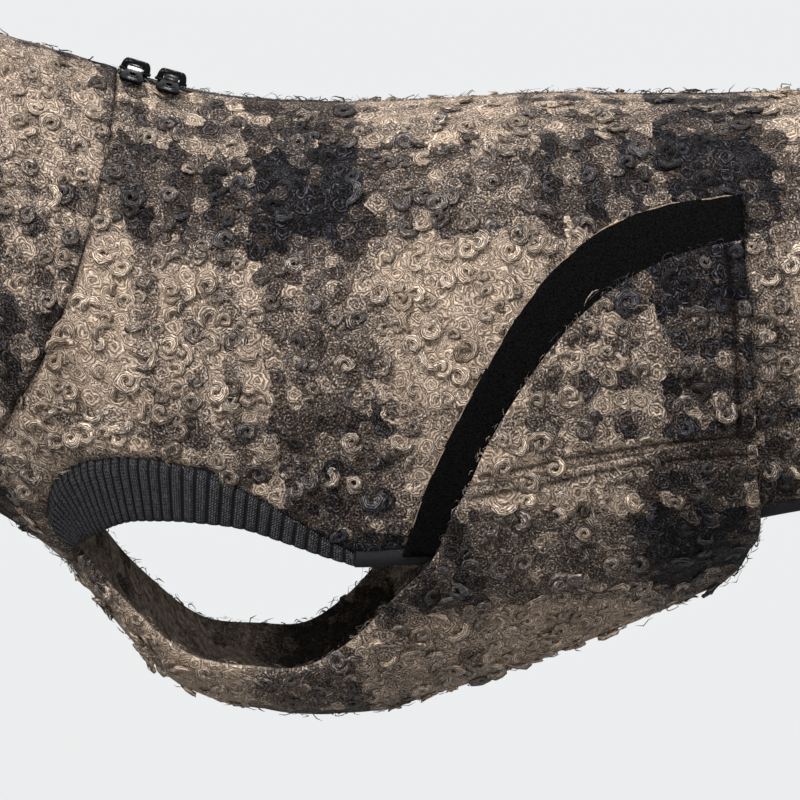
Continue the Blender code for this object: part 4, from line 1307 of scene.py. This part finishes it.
def rounded(work, width):
    """Rounds every sharp edge of a bmesh."""
    bmesh.ops.remove_doubles(work, verts=work.verts, dist=1e-6)
    bmesh.ops.dissolve_limit(work, angle_limit=math.radians(2), verts=work.verts, edges=work.edges)
    shared = [edge for edge in work.edges if len(edge.link_faces) == 2]
    sharp = [edge for edge in shared if edge.calc_face_angle() > math.radians(35)]
    shape = {"offset": width * MM, "segments": 2, "profile": 0.5, "clamp_overlap": True}
    bmesh.ops.bevel(work, geom=sharp, affect="EDGES", **shape)
    for face in work.faces:
        face.normal_update()
        face.smooth = abs(face.normal.z) < 0.998


def block(outline, low, high, order, width):
    """A rounded block: an outline in two local axes drawn out along the third, in millimetres."""
    work = bmesh.new()
    rings = []
    for level in (low, high):
        rings.append([work.verts.new([(*corner, level)[k] * MM for k in order]) for corner in outline])
    n = len(outline)
    work.faces.new(rings[0][::-1])
    work.faces.new(rings[1])
    for i in range(n):
        work.faces.new((rings[0][i], rings[0][(i + 1) % n], rings[1][(i + 1) % n], rings[1][i]))
    bmesh.ops.recalc_face_normals(work, faces=work.faces)
    rounded(work, width)
    return work


def metal_object(name, works, place):
    """One object of metal from rounded blocks put at a place."""
    mesh = bpy.data.meshes.new(name)
    whole = bmesh.new()
    for work in works:
        part = bpy.data.meshes.new("part")
        work.to_mesh(part)
        work.free()
        whole.from_mesh(part)
        bpy.data.meshes.remove(part)
    whole.to_mesh(mesh)
    whole.free()
    mesh.transform(place)
    mesh.materials.append(FINISHES["metal"])
    # the second material is the pale metal of the painted highlight
    mesh.materials.append(FINISHES["painted_highlight"])
    mesh.set_sharp_from_angle(angle=math.radians(50))
    return linked(name, mesh)


def round_outline(radius, steps):
    """A circle as an outline."""
    angles = [k * math.tau / steps for k in range(steps)]
    return [(radius * math.cos(angle), radius * math.sin(angle)) for angle in angles]


XYZ, YZX = (0, 1, 2), (2, 0, 1)  # which of (outline, outline, drawn) is each axis
PLATE_OUTLINE = (
    (-6.5, -1.6), (-5.3, -2.7), (2.0, -4.2), (5.5, -4.2), (6.5, -2.9), (6.5, 2.9), (5.5, 4.2),
    (2.0, 4.2), (-5.3, 2.7), (-6.5, 1.6),
)
CHEEK_FOOT = 3.3
CHEEK_SECTIONS = (  # place across, half its length, height of its top
    (3.3, 1.9, 7.7), (4.2, 1.85, 7.6), (4.9, 1.75, 7.2), (5.5, 1.6, 6.3), (5.9, 1.4, 5.0), (6.1, 1.2, 3.5)
)


def cheek(sign):
    """A domed end of the slider's crown, from the pull's sleeve down to the plate."""
    work = bmesh.new()
    rings = []
    for x, half, top in CHEEK_SECTIONS:
        arc = [math.pi * k / 10 for k in range(11)]
        bend = min(half, top - CHEEK_FOOT)
        dome = [(-half * math.cos(t), top - bend + bend * math.sin(t)) for t in arc]
        section = [(-half, CHEEK_FOOT), *dome, (half, CHEEK_FOOT)]
        rings.append([work.verts.new((sign * x * MM, y * MM, z * MM)) for y, z in section])
    n = len(rings[0])
    for a, b in zip(rings, rings[1:]):
        for i in range(n):
            work.faces.new((a[i], a[(i + 1) % n], b[(i + 1) % n], b[i]))
    work.faces.new(rings[0])
    work.faces.new(rings[-1])
    bmesh.ops.remove_doubles(work, verts=work.verts, dist=1e-6)
    bmesh.ops.recalc_face_normals(work, faces=work.faces)
    for face in work.faces:
        face.smooth = True
    return work


AXIS_LEVEL, PULL_DROOP = 6.0, math.radians(21)
TOP_PLATE, LOW_PLATE, PLATE_ROUNDING = (2.6, 3.6), (-0.8, 0.1), 0.3
BAR_RADIUS, BAR_HALF = 0.75, 5.2
WEDGE = ((3.0, -0.8), (5.4, 0.0), (3.0, 0.8), (2.8, 0.0))  # what parts the teeth between the plates


def slider_blocks():
    """A zip slider: two plates, the wedge between them, the bar and two domed cheeks that carry it."""
    bar = [(y, z + AXIS_LEVEL) for y, z in round_outline(BAR_RADIUS, 16)]
    return [
        block(PLATE_OUTLINE, *TOP_PLATE, XYZ, PLATE_ROUNDING),
        block(PLATE_OUTLINE, *LOW_PLATE, XYZ, PLATE_ROUNDING),
        block(bar, -BAR_HALF, BAR_HALF, YZX, 0.0),
        block(WEDGE, 0.0, 2.7, XYZ, 0.1),
        cheek(-1),
        cheek(1),
    ]


SLEEVE_NEAR, SLEEVE_RADIUS, SLEEVE_HALF = 2.9, 1.8, 3.2
TAB_PLATE = ((-2.9, -7.4), (2.9, -7.4), (2.9, -5.3), (-2.9, -5.3))
TAB_PLATE_MIDDLE = -6.2


def pull_tab(end, place):
    """A pull tab: the frame's own form with rounded edges, and a plate on its neck, pale metal on the front
    pull only as a painted highlight.
    """
    work = bmesh.new()
    work.from_mesh(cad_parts["pull_" + end].data)
    work.transform(place.inverted())
    for vert in work.verts:  # the sleeve reaches nearly to the cheeks
        if abs(vert.co.x) > SLEEVE_NEAR * MM and vert.co.yz.length < SLEEVE_RADIUS * MM:
            vert.co.x = math.copysign(SLEEVE_HALF * MM, vert.co.x)
    rounded(work, 0.25)
    bmesh.ops.triangulate(work, faces=[face for face in work.faces if len(face.verts) > 4])
    plate = block(TAB_PLATE, -0.3, 0.95, XYZ, 0.15)
    # the front plate is pale metal as a painted highlight; the rear one stays black
    for face in plate.faces:
        face.material_index = 1 if end == "front" else 0
    tilt = Matrix.Rotation(NECK_TILT, 3, "X")
    bmesh.ops.rotate(plate, verts=plate.verts, cent=(0, TAB_PLATE_MIDDLE * MM, 0), matrix=tilt)
    return metal_object(f"pull_{end}_tab", [work, plate], place)


def zip_parts():
    """The lead zip: tapes, teeth, sliders and pull tabs."""
    span = (CHAIN_FRONT[0], CHAIN_REAR[1])
    near, far = ZIP_TAPE_SIDES
    for name, sign in (("left", -1), ("right", 1)):
        low, high = ZIP_TAPE_LOW, ZIP_TAPE_HIGH
        section = [(sign * y, z) for y, z in ((near, low), (far, low), (far, high - 0.1), (near, high))]
        tape = swept(f"zip_tape_{name}_woven", section[::sign], span, 40, FINISHES["zip_tape"])
        ride(tape, replaces=[f"zip_tape_{name}"])
    zip_teeth("zip_teeth_front", CHAIN_FRONT, "zip_chain_front")
    zip_teeth("zip_teeth_rear", CHAIN_REAR, "zip_chain_rear")
    half_turn = Matrix.Rotation(math.pi, 4, "Z")
    to_bar = Matrix.Translation((0, 0, AXIS_LEVEL * MM)) @ Matrix.Rotation(PULL_DROOP, 4, "X")
    sliders = (("front", SLIDER_FRONT_AT, Matrix()), ("rear", SLIDER_REAR_AT, half_turn))
    for end, distance, turned in sliders:
        place = spine_frame(distance)
        place.translation *= MM
        slider = metal_object(f"slider_{end}_body", slider_blocks(), place @ turned)
        ride(slider, replaces=["slider_" + end])
        ride(pull_tab(end, place @ to_bar), body=end + "_pull", replaces=["pull_" + end])


# ---- camera, light and floor

PITCH, DISTANCE = math.radians(7.5), 1.8
AIM_Z = -0.1171
VIEW_WIDTH = 0.32  # width of the picture at the object, in metres
FLOOR_Z, FLOOR_REACH = -0.45, 60.0
FLOOR_COLOUR = (0.427, 0.435, 0.438)
SUNS = (  # direction to the light, its width in degrees, its strength
    ("key", (-0.4, -0.8, 1.0), 30, 3.4),
    ("fill", (0.7, -1.2, 0.1), 60, 0.5),
    ("rim", (0.22, 0.405, 0.887), 8, 0.9),
)


def stage():
    """The photo's camera, its light and its pale floor."""
    camera = bpy.data.cameras.new("camera")
    camera.sensor_width = 36.0
    camera.lens = camera.sensor_width * DISTANCE / VIEW_WIDTH
    holder = linked("camera", camera)
    holder.location = (0, -DISTANCE * math.cos(PITCH), AIM_Z + DISTANCE * math.sin(PITCH))
    holder.rotation_euler = (math.pi / 2 - PITCH, 0, 0)
    bpy.context.scene.camera = holder
    bpy.context.scene.view_settings.view_transform = "Standard"
    world = bpy.data.worlds.new("studio")
    world.use_nodes = True
    sky = world.node_tree
    up = Value(node(sky, "ShaderNodeTexCoord").outputs["Generated"], True).parts()[2]
    glow = ramp(mapped(up, -1.0, 1.0), ((0.35, 0.4), (0.5, 0.4), (0.62, 0.75), (1.0, 1.0)))
    sky.links.new(glow.socket, sky.nodes["Background"].inputs[0])
    sky.nodes["Background"].inputs[1].default_value = 1.0
    bpy.context.scene.world = world
    for name, towards, width, strength in SUNS:
        light = bpy.data.lights.new(name, "SUN")
        light.energy, light.angle = strength, math.radians(width)
        linked(name, light).rotation_euler = (-Vector(towards)).to_track_quat("-Z", "Y").to_euler()
    paper, _, shader = new_material("pale paper")
    shader.inputs["Base Color"].default_value = (*FLOOR_COLOUR, 1)
    shader.inputs["Roughness"].default_value = 1.0
    shader.inputs["Specular IOR Level"].default_value = 0.0
    corners = [(x * FLOOR_REACH, y * FLOOR_REACH, FLOOR_Z) for x, y in ((-1, -1), (1, -1), (1, 1), (-1, 1))]
    floor = mesh_object("floor", np.array(corners) / MM, [(0, 1, 2, 3)], [paper])
    floor.visible_diffuse = False


trims(cloth_pieces())
zip_parts()
stage()
